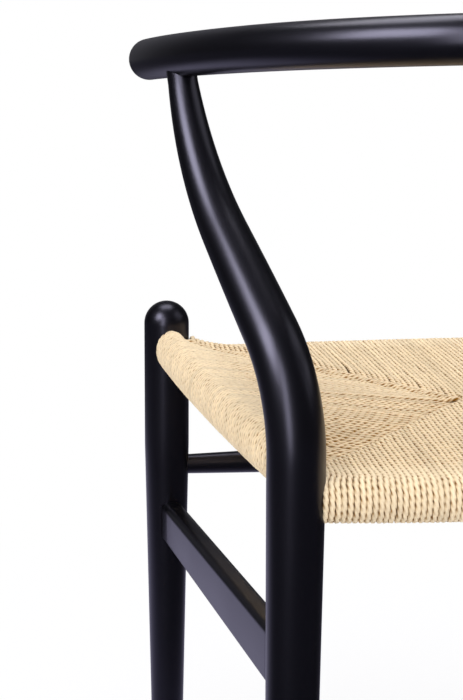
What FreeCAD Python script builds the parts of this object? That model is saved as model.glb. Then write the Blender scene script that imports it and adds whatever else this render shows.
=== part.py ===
import FreeCAD, Part
import math
import os

import Sketcher
from FreeCAD import Placement, Rotation, Vector

# A wishbone dining chair: two turned front legs, two back legs that sweep forward to carry
# a bent top rail, a Y-shaped back splat, four seat rails, four stretchers, and a seat woven
# from paper cord. Millimetres. The floor is z = 0, the front is -Y, the sitter's left is +X,
# and the origin is the middle of the chair's footprint.

doc = FreeCAD.newDocument("WishboneChair")
sizes = doc.addObject("Spreadsheet::Sheet", "sizes")
layout = doc.addObject("App::VarSet", "layout")


class Size:
    """A size that carries its value and the expression it comes from."""

    def __init__(self, value, text):
        self.value = float(value)
        self.text = text

    def __add__(self, other):
        return Size(self.value + value_of(other), f"({self.text} + {text_of(other)})")

    def __sub__(self, other):
        return Size(self.value - value_of(other), f"({self.text} - {text_of(other)})")

    def __mul__(self, other):
        return Size(self.value * value_of(other), f"({self.text} * {text_of(other)})")

    def __truediv__(self, other):
        return Size(self.value / value_of(other), f"({self.text} / {text_of(other)})")

    def __pow__(self, other):
        return Size(self.value ** value_of(other), f"(({self.text}) ^ {text_of(other)})")

    def __neg__(self):
        return Size(-self.value, f"(-1 * {self.text})")


def value_of(size):
    return size.value if isinstance(size, Size) else float(size)


def text_of(size):
    return size.text if isinstance(size, Size) else repr(float(size))


def sine(angle):
    return Size(math.sin(math.radians(angle.value)), f"sin({angle.text})")


def cosine(angle):
    return Size(math.cos(math.radians(angle.value)), f"cos({angle.text})")


def arc_sine(share):
    return Size(math.degrees(math.asin(share.value)), f"(asin({share.text}) / (1 deg))")


def direction(rise, run):
    """The angle, in degrees, of a line that goes run along and rise across."""
    turn = math.degrees(math.atan2(rise.value, run.value))
    return Size(turn, f"(atan2({rise.text}; {run.text}) / (1 deg))")


def root(size):
    return Size(math.sqrt(size.value), f"sqrt({size.text})")


ZERO = Size(0, "0")
ONE = Size(1, "1")
QUARTER_TURN = Size(90, "90")
HALF_TURN = Size(180, "180")
sheet_names = []


def size(name, value):
    """Put one driving dimension into the sheet and give it back as a Size."""
    sheet_names.append(name)
    row = len(sheet_names)
    sizes.set(f"A{row}", name)
    sizes.set(f"B{row}", str(value))
    sizes.setAlias(f"B{row}", name)
    return Size(value, f"sizes.{name}")


def named(name, worked_out):
    """Keep a worked-out length under its own name, so that later expressions stay short."""
    layout.addProperty("App::PropertyFloat", name, "places")
    layout.setExpression(name, worked_out.text)
    return Size(worked_out.value, f"layout.{name}")


# Whole chair
overall_width = size("overall_width", 550)
overall_depth = size("overall_depth", 510)
front_leg_spread = size("front_leg_spread", 459)
back_leg_spread = size("back_leg_spread", 365)
seat_run = size("seat_run", 387)

# Front legs
front_leg_height = size("front_leg_height", 481.5)
front_leg_diameter = size("front_leg_diameter", 41)
front_foot_diameter = size("front_foot_diameter", 27.5)
front_taper_height = size("front_taper_height", 346)
foot_bevel = size("foot_bevel", 2)

# Back legs
back_leg_diameter = size("back_leg_diameter", 42.2)
back_foot_diameter = size("back_foot_diameter", 28.5)
back_calf_diameter = size("back_calf_diameter", 39.5)
back_calf_height = size("back_calf_height", 262)
back_neck_length = size("back_neck_length", 18)
knee_radius = size("knee_radius", 115)
knee_angle = size("knee_angle", 48.6)
top_bend_radius = size("top_bend_radius", 241.5)
leg_top_angle = size("leg_top_angle", 18.2)
leg_top_diameter = size("leg_top_diameter", 23)
leg_top_collar = size("leg_top_collar", 5)
leg_top_tenon = size("leg_top_tenon", 17)
LEG_SLIMMING_POWER = 2
NECK_SHARES = (1, 0.5)
KNEE_SHARES = (0, 0.25, 0.5, 0.75, 1)
SLANT_SHARES = (0.25, 0.5, 0.75, 1)
TOP_BEND_SHARES = (0.2, 0.4, 0.6, 0.8, 1)

# Top rail
rail_thickness = size("rail_thickness", 32.9)
rail_height = size("rail_height", 738)
rail_tilt = size("rail_tilt", 5.2)
rail_rear_radius = size("rail_rear_radius", 181)
rail_shoulder_radius = size("rail_shoulder_radius", 311.5)
rail_rear_angle = size("rail_rear_angle", 35.4)
rail_shoulder_angle = size("rail_shoulder_angle", 65.5)
rail_joint_angle = size("rail_joint_angle", 75.2)
rail_tip_angle = size("rail_tip_angle", 83.4)

# Back splat
splat_thickness = size("splat_thickness", 11)
splat_foot_width = size("splat_foot_width", 62)
splat_waist_width = size("splat_waist_width", 50)
splat_top_spread = size("splat_top_spread", 150)
splat_prong_width = size("splat_prong_width", 27)
splat_waist_height = size("splat_waist_height", 560)
splat_crotch_rise = size("splat_crotch_rise", 30)
splat_shoulder_radius = size("splat_shoulder_radius", 150)
splat_crotch_radius = size("splat_crotch_radius", 14)
splat_bow = size("splat_bow", 8)
splat_edge_radius = size("splat_edge_radius", 3)
splat_tenon_depth = size("splat_tenon_depth", 14)
splat_foot_tenon = size("splat_foot_tenon", 16)
splat_foot_tenon_width = size("splat_foot_tenon_width", 44)
splat_foot_tenon_thickness = size("splat_foot_tenon_thickness", 8)
splat_foot_tenon_root = size("splat_foot_tenon_root", 5)

# Seat rails, whose bars are oval and whose ends are round tenons
bar_width = size("bar_width", 20)
bar_height = size("bar_height", 30)
bar_bow = size("bar_bow", 4)
back_bar_depth = size("back_bar_depth", 26)
back_bar_bow = size("back_bar_bow", 13)
bar_tenon_diameter = size("bar_tenon_diameter", 12.5)
front_bar_height = size("front_bar_height", 419.5)
back_bar_height = size("back_bar_height", 412.5)
side_bar_front_height = size("side_bar_front_height", 439)
side_bar_back_height = size("side_bar_back_height", 432)

# Stretchers
front_stretcher_height = size("front_stretcher_height", 325)
back_stretcher_height = size("back_stretcher_height", 225)
spindle_end_diameter = size("spindle_end_diameter", 18.2)
spindle_middle_diameter = size("spindle_middle_diameter", 23.8)
blade_thickness = size("blade_thickness", 19)
blade_front_depth = size("blade_front_depth", 36.5)
blade_back_depth = size("blade_back_depth", 46.5)
blade_underside = size("blade_underside", 257)
blade_edge_radius = size("blade_edge_radius", 6)
blade_housing = size("blade_housing", 14)

# Woven seat
cord_diameter = size("cord_diameter", 4)
seat_middle_height = size("seat_middle_height", 436)
seat_middle_thickness = size("seat_middle_thickness", 30)
seat_middle_half_length = size("seat_middle_half_length", 11)
seat_edge_sink = size("seat_edge_sink", 1.5)
tack_spacing = size("tack_spacing", 9)
tack_first = size("tack_first", 39)
tack_head_diameter = size("tack_head_diameter", 5)
tack_head_thickness = size("tack_head_thickness", 0.8)
tack_shank_diameter = size("tack_shank_diameter", 1.6)
tack_shank_length = size("tack_shank_length", 10)
TACKS_PER_SIDE = 10

# Fits
joint_clearance = size("joint_clearance", 0.1)
tack_clearance = size("tack_clearance", 0.05)
tenon_end_gap = size("tenon_end_gap", 0.3)
shoulder_gap = size("shoulder_gap", 0.3)
seat_gap = size("seat_gap", 0.3)
tenon_past_axis = size("tenon_past_axis", 4)
doc.recompute()

# Places that follow from the sizes
front_leg_radius = front_leg_diameter / 2
back_leg_radius = back_leg_diameter / 2
rail_radius = rail_thickness / 2
front_x = named("front_x", front_leg_spread / 2)
back_x = named("back_x", back_leg_spread / 2)
front_y = named("front_y", front_leg_radius - overall_depth / 2)
back_y = named("back_y", front_y + seat_run)
rail_rear_y = named("rail_rear_y", overall_depth / 2 - rail_radius)

# The top rail's centreline lies in one tilted plane and is five arcs that flow into each
# other: one round the back, and on each side a shoulder and an arm. Each point is given by
# how far the line has turned since the rear, as its distance sideways and forward.
rail_rear_across = named("rail_rear_across", rail_rear_radius * sine(rail_rear_angle))
rail_rear_forward = named(
    "rail_rear_forward", rail_rear_radius - rail_rear_radius * cosine(rail_rear_angle))
rail_shoulder_across = named(
    "rail_shoulder_across",
    rail_rear_across + rail_shoulder_radius * (sine(rail_shoulder_angle) - sine(rail_rear_angle)))
rail_shoulder_forward = named(
    "rail_shoulder_forward",
    rail_rear_forward
    + rail_shoulder_radius * (cosine(rail_rear_angle) - cosine(rail_shoulder_angle)))
rail_arm_radius = named(
    "rail_arm_radius",
    (overall_width / 2 - rail_radius - rail_shoulder_across)
    / (sine(rail_tip_angle) - sine(rail_shoulder_angle)))


def between(start, end, share):
    return start + (end - start) * share


def point_on_arm(turned):
    across = rail_shoulder_across + rail_arm_radius * (sine(turned) - sine(rail_shoulder_angle))
    bent = cosine(rail_shoulder_angle) - cosine(turned)
    forward = rail_shoulder_forward + rail_arm_radius * bent
    return across, forward


rail_tip_across, rail_tip_forward = point_on_arm(rail_tip_angle)
rail_joint_across, rail_joint_forward = point_on_arm(rail_joint_angle)

# Where the back leg's centreline meets the rail's underside, in the chair's own frame
joint_x = named("joint_x", rail_joint_across)
joint_y = named("joint_y", rail_rear_y - rail_joint_forward * cosine(rail_tilt))
joint_z = named("joint_z", rail_height - rail_joint_forward * sine(rail_tilt) - rail_radius)

# The back leg's centreline lies in one upright plane: straight up, round the knee, straight
# on a slant, round again towards upright, and straight for a short way into the rail. The
# slant's length and the knee's height are what make it end at the rail.
leg_step_x = joint_x - back_x
leg_step_y = joint_y - back_y
leg_reach = named("leg_reach", root(leg_step_x * leg_step_x + leg_step_y * leg_step_y))
bend_end_reach = named("bend_end_reach", leg_reach - leg_top_collar * sine(leg_top_angle))
bend_end_height = named("bend_end_height", joint_z - leg_top_collar * cosine(leg_top_angle))
knee_reach = named("knee_reach", knee_radius - knee_radius * cosine(knee_angle))
top_bend_reach = named(
    "top_bend_reach", top_bend_radius * (cosine(leg_top_angle) - cosine(knee_angle)))
slant_length = named(
    "slant_length", (bend_end_reach - knee_reach - top_bend_reach) / sine(knee_angle))
knee_rise = named("knee_rise", knee_radius * sine(knee_angle))
slant_rise = named("slant_rise", slant_length * cosine(knee_angle))
top_bend_rise = named(
    "top_bend_rise", top_bend_radius * (sine(knee_angle) - sine(leg_top_angle)))
knee_height = named("knee_height", bend_end_height - knee_rise - slant_rise - top_bend_rise)

# The side rails and side stretchers run from the front leg's axis to the back leg's
side_splay = front_x - back_x
side_run = named("side_run", root(seat_run * seat_run + side_splay * side_splay))
side_direction = direction(seat_run, -side_splay)
wrap_height = bar_height + cord_diameter * 2


def bind(thing, **settings):
    """Bind properties of an object to sizes; a double underscore stands for a dot."""
    for name, worked_out in settings.items():
        thing.setExpression(name.replace("__", "."), text_of(worked_out))
    return thing


def place(thing, x=ZERO, y=ZERO, z=ZERO, yaw=None, pitch=None, roll=0):
    """Move an object to a place worked out from sizes, and turn it."""
    turn = Rotation(value_of(yaw or ZERO), value_of(pitch or ZERO), roll)
    thing.Placement = Placement(Vector(value_of(x), value_of(y), value_of(z)), turn)
    bind(thing, Placement__Base__x=x, Placement__Base__y=y, Placement__Base__z=z)
    if yaw is not None:
        bind(thing, Placement__Rotation__Yaw=yaw)
    if pitch is not None:
        bind(thing, Placement__Rotation__Pitch=pitch)
    return thing


def outline(sketch, corners, arcs=None, closed=True):
    """Draw a chain through corners; arcs gives an edge its (radius, point on the way)."""
    arcs = arcs or {}
    spots = [Vector(value_of(x), value_of(y), 0) for x, y in corners]
    edges = len(spots) if closed else len(spots) - 1
    starts, ends = [], []
    for edge in range(edges):
        first, last = spots[edge], spots[(edge + 1) % len(spots)]
        if edge in arcs:
            on_the_way = Vector(value_of(arcs[edge][1][0]), value_of(arcs[edge][1][1]), 0)
            sketch.addGeometry(Part.Arc(first, on_the_way, last), False)
        else:
            sketch.addGeometry(Part.LineSegment(first, last), False)
        gaps = [(sketch.getPoint(edge, end) - first).Length for end in (1, 2)]
        forward = gaps[0] < gaps[1]
        starts.append(1 if forward else 2)
        ends.append(2 if forward else 1)
    for edge in range(edges):
        if closed or edge + 1 < edges:
            following = (edge + 1) % edges
            sketch.addConstraint(
                Sketcher.Constraint("Coincident", edge, ends[edge], following, starts[following]))
        hold(sketch, edge, starts[edge], corners[edge])
        if edge in arcs:
            number = sketch.addConstraint(
                Sketcher.Constraint("Radius", edge, value_of(arcs[edge][0])))
            sketch.setExpression(f"Constraints[{number}]", text_of(arcs[edge][0]))
    if not closed:
        hold(sketch, edges - 1, ends[-1], corners[-1])
    return sketch


def hold(sketch, edge, end, corner):
    """Fix one end of an edge at a corner that is worked out from sizes."""
    for kind, along in zip(("DistanceX", "DistanceY"), corner):
        number = sketch.addConstraint(
            Sketcher.Constraint(kind, -1, 1, edge, end, value_of(along)))
        if along is not ZERO:
            sketch.setExpression(f"Constraints[{number}]", text_of(along))


def body_sketch(name, plane):
    """A body and a sketch on one of its own origin planes."""
    body = doc.addObject("PartDesign::Body", name)
    sketch = body.newObject("Sketcher::SketchObject", name + "_profile")
    own_plane = [item for item in body.Origin.OriginFeatures if item.Role == plane][0]
    sketch.AttachmentSupport = [(own_plane, "")]
    sketch.MapMode = "FlatFace"
    return body, sketch


def turned(name, corners, axis, plane, arcs=None):
    """A piece from the lathe: its half profile turned about a sketch axis."""
    body, sketch = body_sketch(name, plane)
    outline(sketch, corners, arcs)
    revolution = body.newObject("PartDesign::Revolution", name + "_turning")
    revolution.Profile = sketch
    revolution.ReferenceAxis = (sketch, [axis])
    revolution.Angle = value_of(HALF_TURN * 2)
    return body


def join(name, pieces):
    fused = doc.addObject("Part::MultiFuse", name)
    fused.Shapes = pieces
    return fused


def group(name, pieces):
    """Pieces that are placed together and stay separate."""
    together = doc.addObject("Part::Compound", name)
    together.Links = pieces
    return together


def cut(name, base, tools):
    """Base with every tool taken out of it; the result is a finished piece."""
    tool = tools[0] if len(tools) == 1 else join(name + "_cutters", tools)
    piece = doc.addObject("Part::Cut", name)
    piece.Base = base
    piece.Tool = tool
    piece.Label = name
    return piece


def mirrored(name, source):
    """The right-hand twin of a left-hand piece."""
    twin = doc.addObject("Part::Mirroring", name)
    twin.Source = source
    twin.Normal = Vector(1, 0, 0)
    twin.Label = name
    return twin


def rod(name, radius, length, x=ZERO, y=ZERO, z=ZERO, roll=0, yaw=None, pitch=None):
    cylinder = doc.addObject("Part::Cylinder", name)
    bind(cylinder, Radius=radius, Height=length)
    return place(cylinder, x, y, z, yaw=yaw, pitch=pitch, roll=roll)


# Front leg: a taper up to the seat, a straight neck and a round top
def front_leg_blank():
    foot = front_foot_diameter / 2
    shoulder = front_leg_height - front_leg_radius
    halfway = QUARTER_TURN / 2
    round_top = (front_leg_radius * sine(halfway), shoulder + front_leg_radius * cosine(halfway))
    corners = [
        (ZERO, ZERO),
        (foot - foot_bevel, ZERO),
        (foot, foot_bevel),
        (front_leg_radius, front_taper_height),
        (front_leg_radius, shoulder),
        (ZERO, front_leg_height),
    ]
    arcs = {4: (front_leg_radius, round_top)}
    leg = turned("front_leg_turning", corners, "V_Axis", "XZ_Plane", arcs)
    return place(leg, front_x, front_y)


# Back leg: turned up to the neck under the knee, and from there lofted through circles
# square to its centreline
def back_leg_post():
    """The straight lower leg, in the leg's own frame."""
    foot = back_foot_diameter / 2
    corners = [
        (ZERO, ZERO),
        (foot - foot_bevel, ZERO),
        (foot, foot_bevel),
        (back_calf_diameter / 2, back_calf_height),
        (back_leg_radius, knee_height - back_neck_length),
        (ZERO, knee_height - back_neck_length),
    ]
    return turned("back_leg_post", corners, "V_Axis", "XZ_Plane")


def back_leg_stations():
    """(reach, height, lean, diameter) of each circle, from the foot of the neck up."""
    knee_length = knee_angle / HALF_TURN * math.pi * knee_radius
    top_length = (knee_angle - leg_top_angle) / HALF_TURN * math.pi * top_bend_radius
    whole = named("leg_sweep_length", knee_length + slant_length + top_length)

    def diameter(travelled):
        slimming_share = (travelled / whole) ** LEG_SLIMMING_POWER
        return between(back_leg_diameter, leg_top_diameter, slimming_share)

    stations = [(ZERO, knee_height - back_neck_length * share, ZERO, back_leg_diameter)
                for share in NECK_SHARES]
    for share in KNEE_SHARES:
        lean = knee_angle * share
        stations.append((knee_radius - knee_radius * cosine(lean),
                         knee_height + knee_radius * sine(lean), lean, diameter(knee_length * share)))
    for share in SLANT_SHARES:
        stations.append((knee_reach + slant_length * sine(knee_angle) * share,
                         knee_height + knee_rise + slant_rise * share, knee_angle,
                         diameter(knee_length + slant_length * share)))
    bend_reach = bend_end_reach - top_bend_reach
    bend_height = bend_end_height - top_bend_rise
    for share in TOP_BEND_SHARES:
        lean = between(knee_angle, leg_top_angle, share)
        stations.append((bend_reach + top_bend_radius * (cosine(lean) - cosine(knee_angle)),
                         bend_height + top_bend_radius * (sine(knee_angle) - sine(lean)), lean,
                         diameter(knee_length + slant_length + top_length * share)))
    return stations


def on_leg_plane(thing):
    """Stand a piece that was drawn along X onto the plane of the back leg's sweep."""
    return place(thing, back_x, back_y, yaw=direction(leg_step_y, leg_step_x))


def back_leg_end(name, grow, collar):
    """The leg's straight end, from collar below the rail's underside to inside the rail."""
    reach = leg_reach - sine(leg_top_angle) * collar
    height = joint_z - cosine(leg_top_angle) * collar
    length = collar + leg_top_tenon
    if grow is not ZERO:
        length = length + tenon_end_gap
    return rod(name, leg_top_diameter / 2 + grow, length, reach, z=height, pitch=leg_top_angle)


def back_leg_blank():
    circles = []
    for number, (reach, height, lean, width) in enumerate(back_leg_stations()):
        circle = doc.addObject("Part::Circle", f"back_leg_section_{number}")
        bind(circle, Radius=width / 2)
        circles.append(place(circle, reach, z=height, pitch=lean))
    loft = doc.addObject("Part::Loft", "back_leg_sweep")
    loft.Sections = circles
    loft.Solid = True
    loft.Ruled = False
    end = back_leg_end("back_leg_end", ZERO, leg_top_collar)
    return on_leg_plane(join("back_leg_blank", [back_leg_post(), loft, end]))


# Seat rails: an oval bar, slightly bowed outward, with a round tenon on each end
def bow_radius(span, bow=bar_bow):
    return (span * span / 4 + bow * bow) / (bow * 2)


def bowed_bar(name, span, width, height, half_length, bow=bar_bow):
    """An oval bar along X that bows towards +Y over the span."""
    bend = bow_radius(span, bow)
    oval = doc.addObject("Part::Ellipse", name + "_section")
    bind(oval, MajorRadius=height / 2, MinorRadius=width / 2)
    place(oval, y=bow, pitch=-QUARTER_TURN)
    bar = doc.addObject("Part::Revolution", name)
    bar.Source = oval
    bar.Axis = Vector(0, 0, 1)
    bar.Base = Vector(0, value_of(bow - bend), 0)
    bar.Solid = True
    bar.Symmetric = True
    bind(bar, Base__y=bow - bend, Angle=arc_sine(half_length / bend) * 2)
    return bar


def seat_bar(name, span, first_radius, last_radius, grow=ZERO, height=bar_height, bow=bar_bow):
    """A whole seat rail along X, its middle at the origin, or the cutter for its mortises."""
    end_gap = tenon_end_gap if grow is not ZERO else ZERO
    bar = bowed_bar(name + "_bar", span, bar_width + grow * 2, height + grow * 2, span / 2, bow)
    root_overlap = bar_tenon_diameter / 2
    pieces = [bar]
    start = span / 2 - root_overlap
    for side, radius, place_x, pitch in (("first", first_radius, -start, -QUARTER_TURN),
                                         ("last", last_radius, start, QUARTER_TURN)):
        length = root_overlap + shoulder_gap + radius + tenon_past_axis + end_gap
        pieces.append(rod(f"{name}_{side}_tenon", bar_tenon_diameter / 2 + grow, length, place_x,
                          pitch=pitch))
    return join(name + "_blank", pieces)


front_span = named("front_span", front_leg_spread - front_leg_diameter - shoulder_gap * 2)
back_span = named("back_span", back_leg_spread - back_leg_diameter - shoulder_gap * 2)
side_span = named("side_span", side_run - front_leg_radius - back_leg_radius - shoulder_gap * 2)
# The middle of a side rail, measured from the front leg's axis towards the back leg's
side_middle = named("side_middle", front_leg_radius + shoulder_gap + side_span / 2)
side_share = side_middle / side_run
side_middle_x = named("side_middle_x", front_x - side_splay * side_share)
side_middle_y = named("side_middle_y", front_y + seat_run * side_share)
side_middle_z = named(
    "side_middle_z", between(side_bar_front_height, side_bar_back_height, side_share))
side_pitch = direction(side_bar_front_height - side_bar_back_height, side_run)


def at_front(bar):
    """Across the front, bowed forward."""
    return place(bar, y=front_y, z=front_bar_height, yaw=HALF_TURN)


def at_back(bar):
    """Across the back, bowed backward."""
    return place(bar, y=back_y, z=back_bar_height)


def at_side(bar):
    """Along the left side, bowed outward: its +X end points at the front leg."""
    return place(bar, side_middle_x, side_middle_y, side_middle_z,
                 yaw=side_direction - HALF_TURN, pitch=-side_pitch)


def front_bar(name, grow=ZERO):
    return at_front(seat_bar(name, front_span, front_leg_radius, front_leg_radius, grow))


def back_bar(name, grow=ZERO):
    return at_back(seat_bar(name, back_span, back_leg_radius, back_leg_radius, grow,
                            back_bar_depth, back_bar_bow))


def side_bar(name, grow=ZERO):
    return at_side(seat_bar(name, side_span, back_leg_radius, front_leg_radius, grow))


# Turned stretchers: spindles, fuller in the middle, whose ends go straight into the legs
def spindle(name, spread, leg_radius, y, z, grow=ZERO):
    end_gap = tenon_end_gap if grow is not ZERO else ZERO
    half_length = spread / 2 + tenon_past_axis + end_gap
    half_span = spread / 2 - leg_radius
    end = spindle_end_diameter / 2 + grow
    middle = spindle_middle_diameter / 2 + grow
    swell = middle - end
    bend = (half_span * half_span + swell * swell) / (swell * 2)
    corners = [(-half_length, ZERO), (half_length, ZERO), (half_length, end), (half_span, end),
               (-half_span, end), (-half_length, end)]
    piece = turned(name, corners, "H_Axis", "XY_Plane", {3: (bend, (ZERO, middle))})
    return place(piece, y=y, z=z)


# Side stretchers: blades with rounded edges, deeper at the back, housed in both legs
def blade(name, grow=ZERO):
    end_gap = tenon_end_gap if grow is not ZERO else ZERO
    start = front_leg_radius - blade_housing - end_gap
    end = side_run - back_leg_radius + blade_housing + end_gap
    low = blade_underside - grow
    front_top = blade_underside + blade_front_depth + grow
    back_top = blade_underside + blade_back_depth + grow
    body, sketch = body_sketch(name, "XZ_Plane")
    outline(sketch, [(start, low), (end, low), (end, back_top), (start, front_top)])
    pad = body.newObject("PartDesign::Pad", name + "_board")
    pad.Profile = sketch
    pad.Midplane = True
    bind(pad, Length=blade_thickness + grow * 2)
    doc.recompute()
    long_edges = [f"Edge{number}" for number, edge in enumerate(pad.Shape.Edges, 1)
                  if edge.Length > value_of(side_run) / 2]
    rounding = body.newObject("PartDesign::Fillet", name + "_rounding")
    rounding.Base = (pad, long_edges)
    bind(rounding, Radius=blade_edge_radius + grow)
    return place(body, front_x, front_y, yaw=side_direction)


# Top rail: a round bar bent along its five arcs, with round tips
def top_rail_blank():
    shoulder = (rail_rear_angle + rail_shoulder_angle) / 2
    arm = (rail_shoulder_angle + rail_tip_angle) / 2
    shoulder_way = (
        rail_rear_across + rail_shoulder_radius * (sine(shoulder) - sine(rail_rear_angle)),
        rail_rear_forward + rail_shoulder_radius * (cosine(rail_rear_angle) - cosine(shoulder)))
    arm_way = point_on_arm(arm)
    left = [(rail_tip_across, rail_tip_forward), (rail_shoulder_across, rail_shoulder_forward),
            (rail_rear_across, rail_rear_forward)]
    corners = [(across, -forward) for across, forward in left]
    corners += [(-across, -forward) for across, forward in reversed(left)]
    arcs = {
        0: (rail_arm_radius, (arm_way[0], -arm_way[1])),
        1: (rail_shoulder_radius, (shoulder_way[0], -shoulder_way[1])),
        2: (rail_rear_radius, (ZERO, ZERO)),
        3: (rail_shoulder_radius, (-shoulder_way[0], -shoulder_way[1])),
        4: (rail_arm_radius, (-arm_way[0], -arm_way[1])),
    }
    spine = doc.addObject("Sketcher::SketchObject", "top_rail_centreline")
    outline(spine, corners, arcs, closed=False)
    section = doc.addObject("Part::Circle", "top_rail_section")
    bind(section, Radius=rail_radius)
    outward = QUARTER_TURN - rail_tip_angle
    place(section, rail_tip_across, -rail_tip_forward, yaw=outward, roll=value_of(QUARTER_TURN))
    bend = doc.addObject("Part::Sweep", "top_rail_bend")
    bend.Sections = [section]
    bend.Spine = (spine, [f"Edge{number}" for number in range(1, len(corners))])
    bend.Solid = True
    bend.Frenet = False
    tips = []
    for side, across, yaw in (("left", rail_tip_across, outward),
                              ("right", -rail_tip_across, -outward)):
        tip = doc.addObject("Part::Sphere", f"top_rail_tip_{side}")
        tip.Angle1 = 0
        bind(tip, Radius=rail_radius)
        tips.append(place(tip, across, -rail_tip_forward, yaw=yaw, roll=value_of(QUARTER_TURN)))
    rail = join("top_rail_blank", [bend] + tips)
    rail.Placement = Placement(Vector(), Rotation(Vector(1, 0, 0), value_of(rail_tilt)))
    bind(rail, Placement__Base__y=rail_rear_y, Placement__Base__z=rail_height,
         Placement__Rotation__Angle=rail_tilt)
    return rail


# Back splat: a bent board cut to a Y. Seen from the front it is the fork's outline; seen from
# the side it is a thin strip that bows backward. The board is what the two have in common.
splat_base_y = named("splat_base_y", back_y + back_bar_bow)
splat_base_z = named("splat_base_z", back_bar_height + back_bar_depth / 2)
splat_top_half = splat_top_spread / 2
splat_crotch_height = splat_waist_height + splat_crotch_rise
# The rail's centreline above the prongs, on its rear arc
splat_turn_share = splat_top_half / rail_rear_radius
splat_forward = named(
    "splat_forward",
    rail_rear_radius - rail_rear_radius * root(ONE - splat_turn_share * splat_turn_share))
splat_top_y = named("splat_top_y", rail_rear_y - splat_forward * cosine(rail_tilt))
splat_top_z = named(
    "splat_top_z",
    rail_height - splat_forward * sine(rail_tilt) - rail_radius + splat_tenon_depth)


def board_view(name, plane, corners, length, arcs=None):
    """A body padded evenly to both sides of an outline on one of its origin planes."""
    body, sketch = body_sketch(name, plane)
    outline(sketch, corners, arcs)
    pad = body.newObject("PartDesign::Pad", name + "_board")
    pad.Profile = sketch
    pad.Midplane = True
    bind(pad, Length=length)
    doc.recompute()
    return body, pad


def round_edges(body, base, name, radius, chosen):
    """Fillet the edges of a feature that chosen picks."""
    edges = [f"Edge{number}" for number, edge in enumerate(base.Shape.Edges, 1) if chosen(edge)]
    rounding = body.newObject("PartDesign::Fillet", name)
    rounding.Base = (base, edges)
    bind(rounding, Radius=radius)
    doc.recompute()
    return rounding


def runs_across_at(height, sideways):
    """Picks the edges through the board's thickness at one corner of its outline."""
    def chosen(edge):
        middle = edge.CenterOfMass
        near = math.hypot(abs(middle.x) - value_of(sideways), middle.z - value_of(height))
        return near < value_of(splat_edge_radius) / 2
    return chosen


def splat_board(name, grow=ZERO):
    """The Y-shaped board; a grown one also reaches further up along its own slopes."""
    beyond = ZERO if grow is ZERO else tenon_end_gap
    top = splat_top_z + beyond
    foot = splat_base_z
    half_waist = splat_waist_width / 2 + grow
    half_prong = splat_prong_width / 2 + grow
    crotch_height = splat_crotch_height - grow
    outer_slope = (splat_top_half + half_prong - half_waist) / (splat_top_z - splat_waist_height)
    inner_slope = (splat_top_half - half_prong) / (splat_top_z - splat_crotch_height)
    outer_top = splat_top_half + half_prong + beyond * outer_slope
    inner_top = splat_top_half - half_prong + beyond * inner_slope
    top_y = splat_top_y + beyond * (splat_top_y - splat_base_y) / (splat_top_z - foot)
    corners = [
        (splat_foot_width / 2 + grow, foot),
        (half_waist, splat_waist_height),
        (outer_top, top),
        (inner_top, top),
        (ZERO, crotch_height),
        (-inner_top, top),
        (-outer_top, top),
        (-half_waist, splat_waist_height),
        (-(splat_foot_width / 2 + grow), foot),
    ]
    face, pad = board_view(name + "_face", "XZ_Plane", corners, overall_depth)
    rounded = round_edges(face, pad, name + "_shoulders", splat_shoulder_radius,
                          runs_across_at(splat_waist_height, half_waist))
    round_edges(face, rounded, name + "_crotch", splat_crotch_radius,
                runs_across_at(crotch_height, ZERO))
    lean = top_y - splat_base_y
    rise = top - foot
    chord = named(name + "_chord", root(lean * lean + rise * rise))
    half_strip = (splat_thickness / 2 + grow) * chord / rise
    bend = (chord * chord / 4 + splat_bow * splat_bow) / (splat_bow * 2)
    middle_y = (splat_base_y + top_y) / 2 + splat_bow * rise / chord
    middle_z = (foot + top) / 2 - splat_bow * lean / chord
    strip = [(splat_base_y - half_strip, foot), (splat_base_y + half_strip, foot),
             (top_y + half_strip, top), (top_y - half_strip, top)]
    side, _ = board_view(name + "_side", "YZ_Plane", strip, splat_top_spread * 2,
                         {1: (bend, (middle_y + half_strip, middle_z)),
                          3: (bend, (middle_y - half_strip, middle_z))})
    board = doc.addObject("Part::MultiCommon", name + "_board")
    board.Shapes = [face, side]
    return board


def splat_tenon(name, grow=ZERO):
    """The tongue under the splat that stands in the back seat rail."""
    depth = splat_foot_tenon if grow is ZERO else splat_foot_tenon + tenon_end_gap
    tenon = doc.addObject("Part::Box", name)
    bind(tenon, Length=splat_foot_tenon_width + grow * 2,
         Width=splat_foot_tenon_thickness + grow * 2, Height=depth + splat_foot_tenon_root)
    return place(tenon, -(splat_foot_tenon_width / 2 + grow),
                 splat_base_y - splat_foot_tenon_thickness / 2 - grow, splat_base_z - depth)


def soften(name, base, radius, shortest):
    """Round the long edges of a board between its two flat ends."""
    low = base.Shape.BoundBox.ZMin
    high = base.Shape.BoundBox.ZMax
    round_by = value_of(radius)
    edges = []
    for number, edge in enumerate(base.Shape.Edges, 1):
        box = edge.BoundBox
        at_an_end = min(box.ZMin - low, high - box.ZMax) < round_by
        level = box.ZLength < round_by / 2
        if not (level and at_an_end) and edge.Length > value_of(shortest):
            edges.append((number, round_by, round_by))
    rounding = doc.addObject("Part::Fillet", name)
    rounding.Base = base
    rounding.Edges = edges
    doc.recompute()
    return rounding


# Woven seat: the outer form of the cord, a wrap round each rail and a panel between them
def wrap(name, span, extra, grow=ZERO, height=bar_height, bow=bar_bow):
    """The cord wound on one rail, or the room for the rail inside it."""
    return bowed_bar(name, span, bar_width + grow * 2, height + grow * 2, span / 2 + extra, bow)


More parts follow.
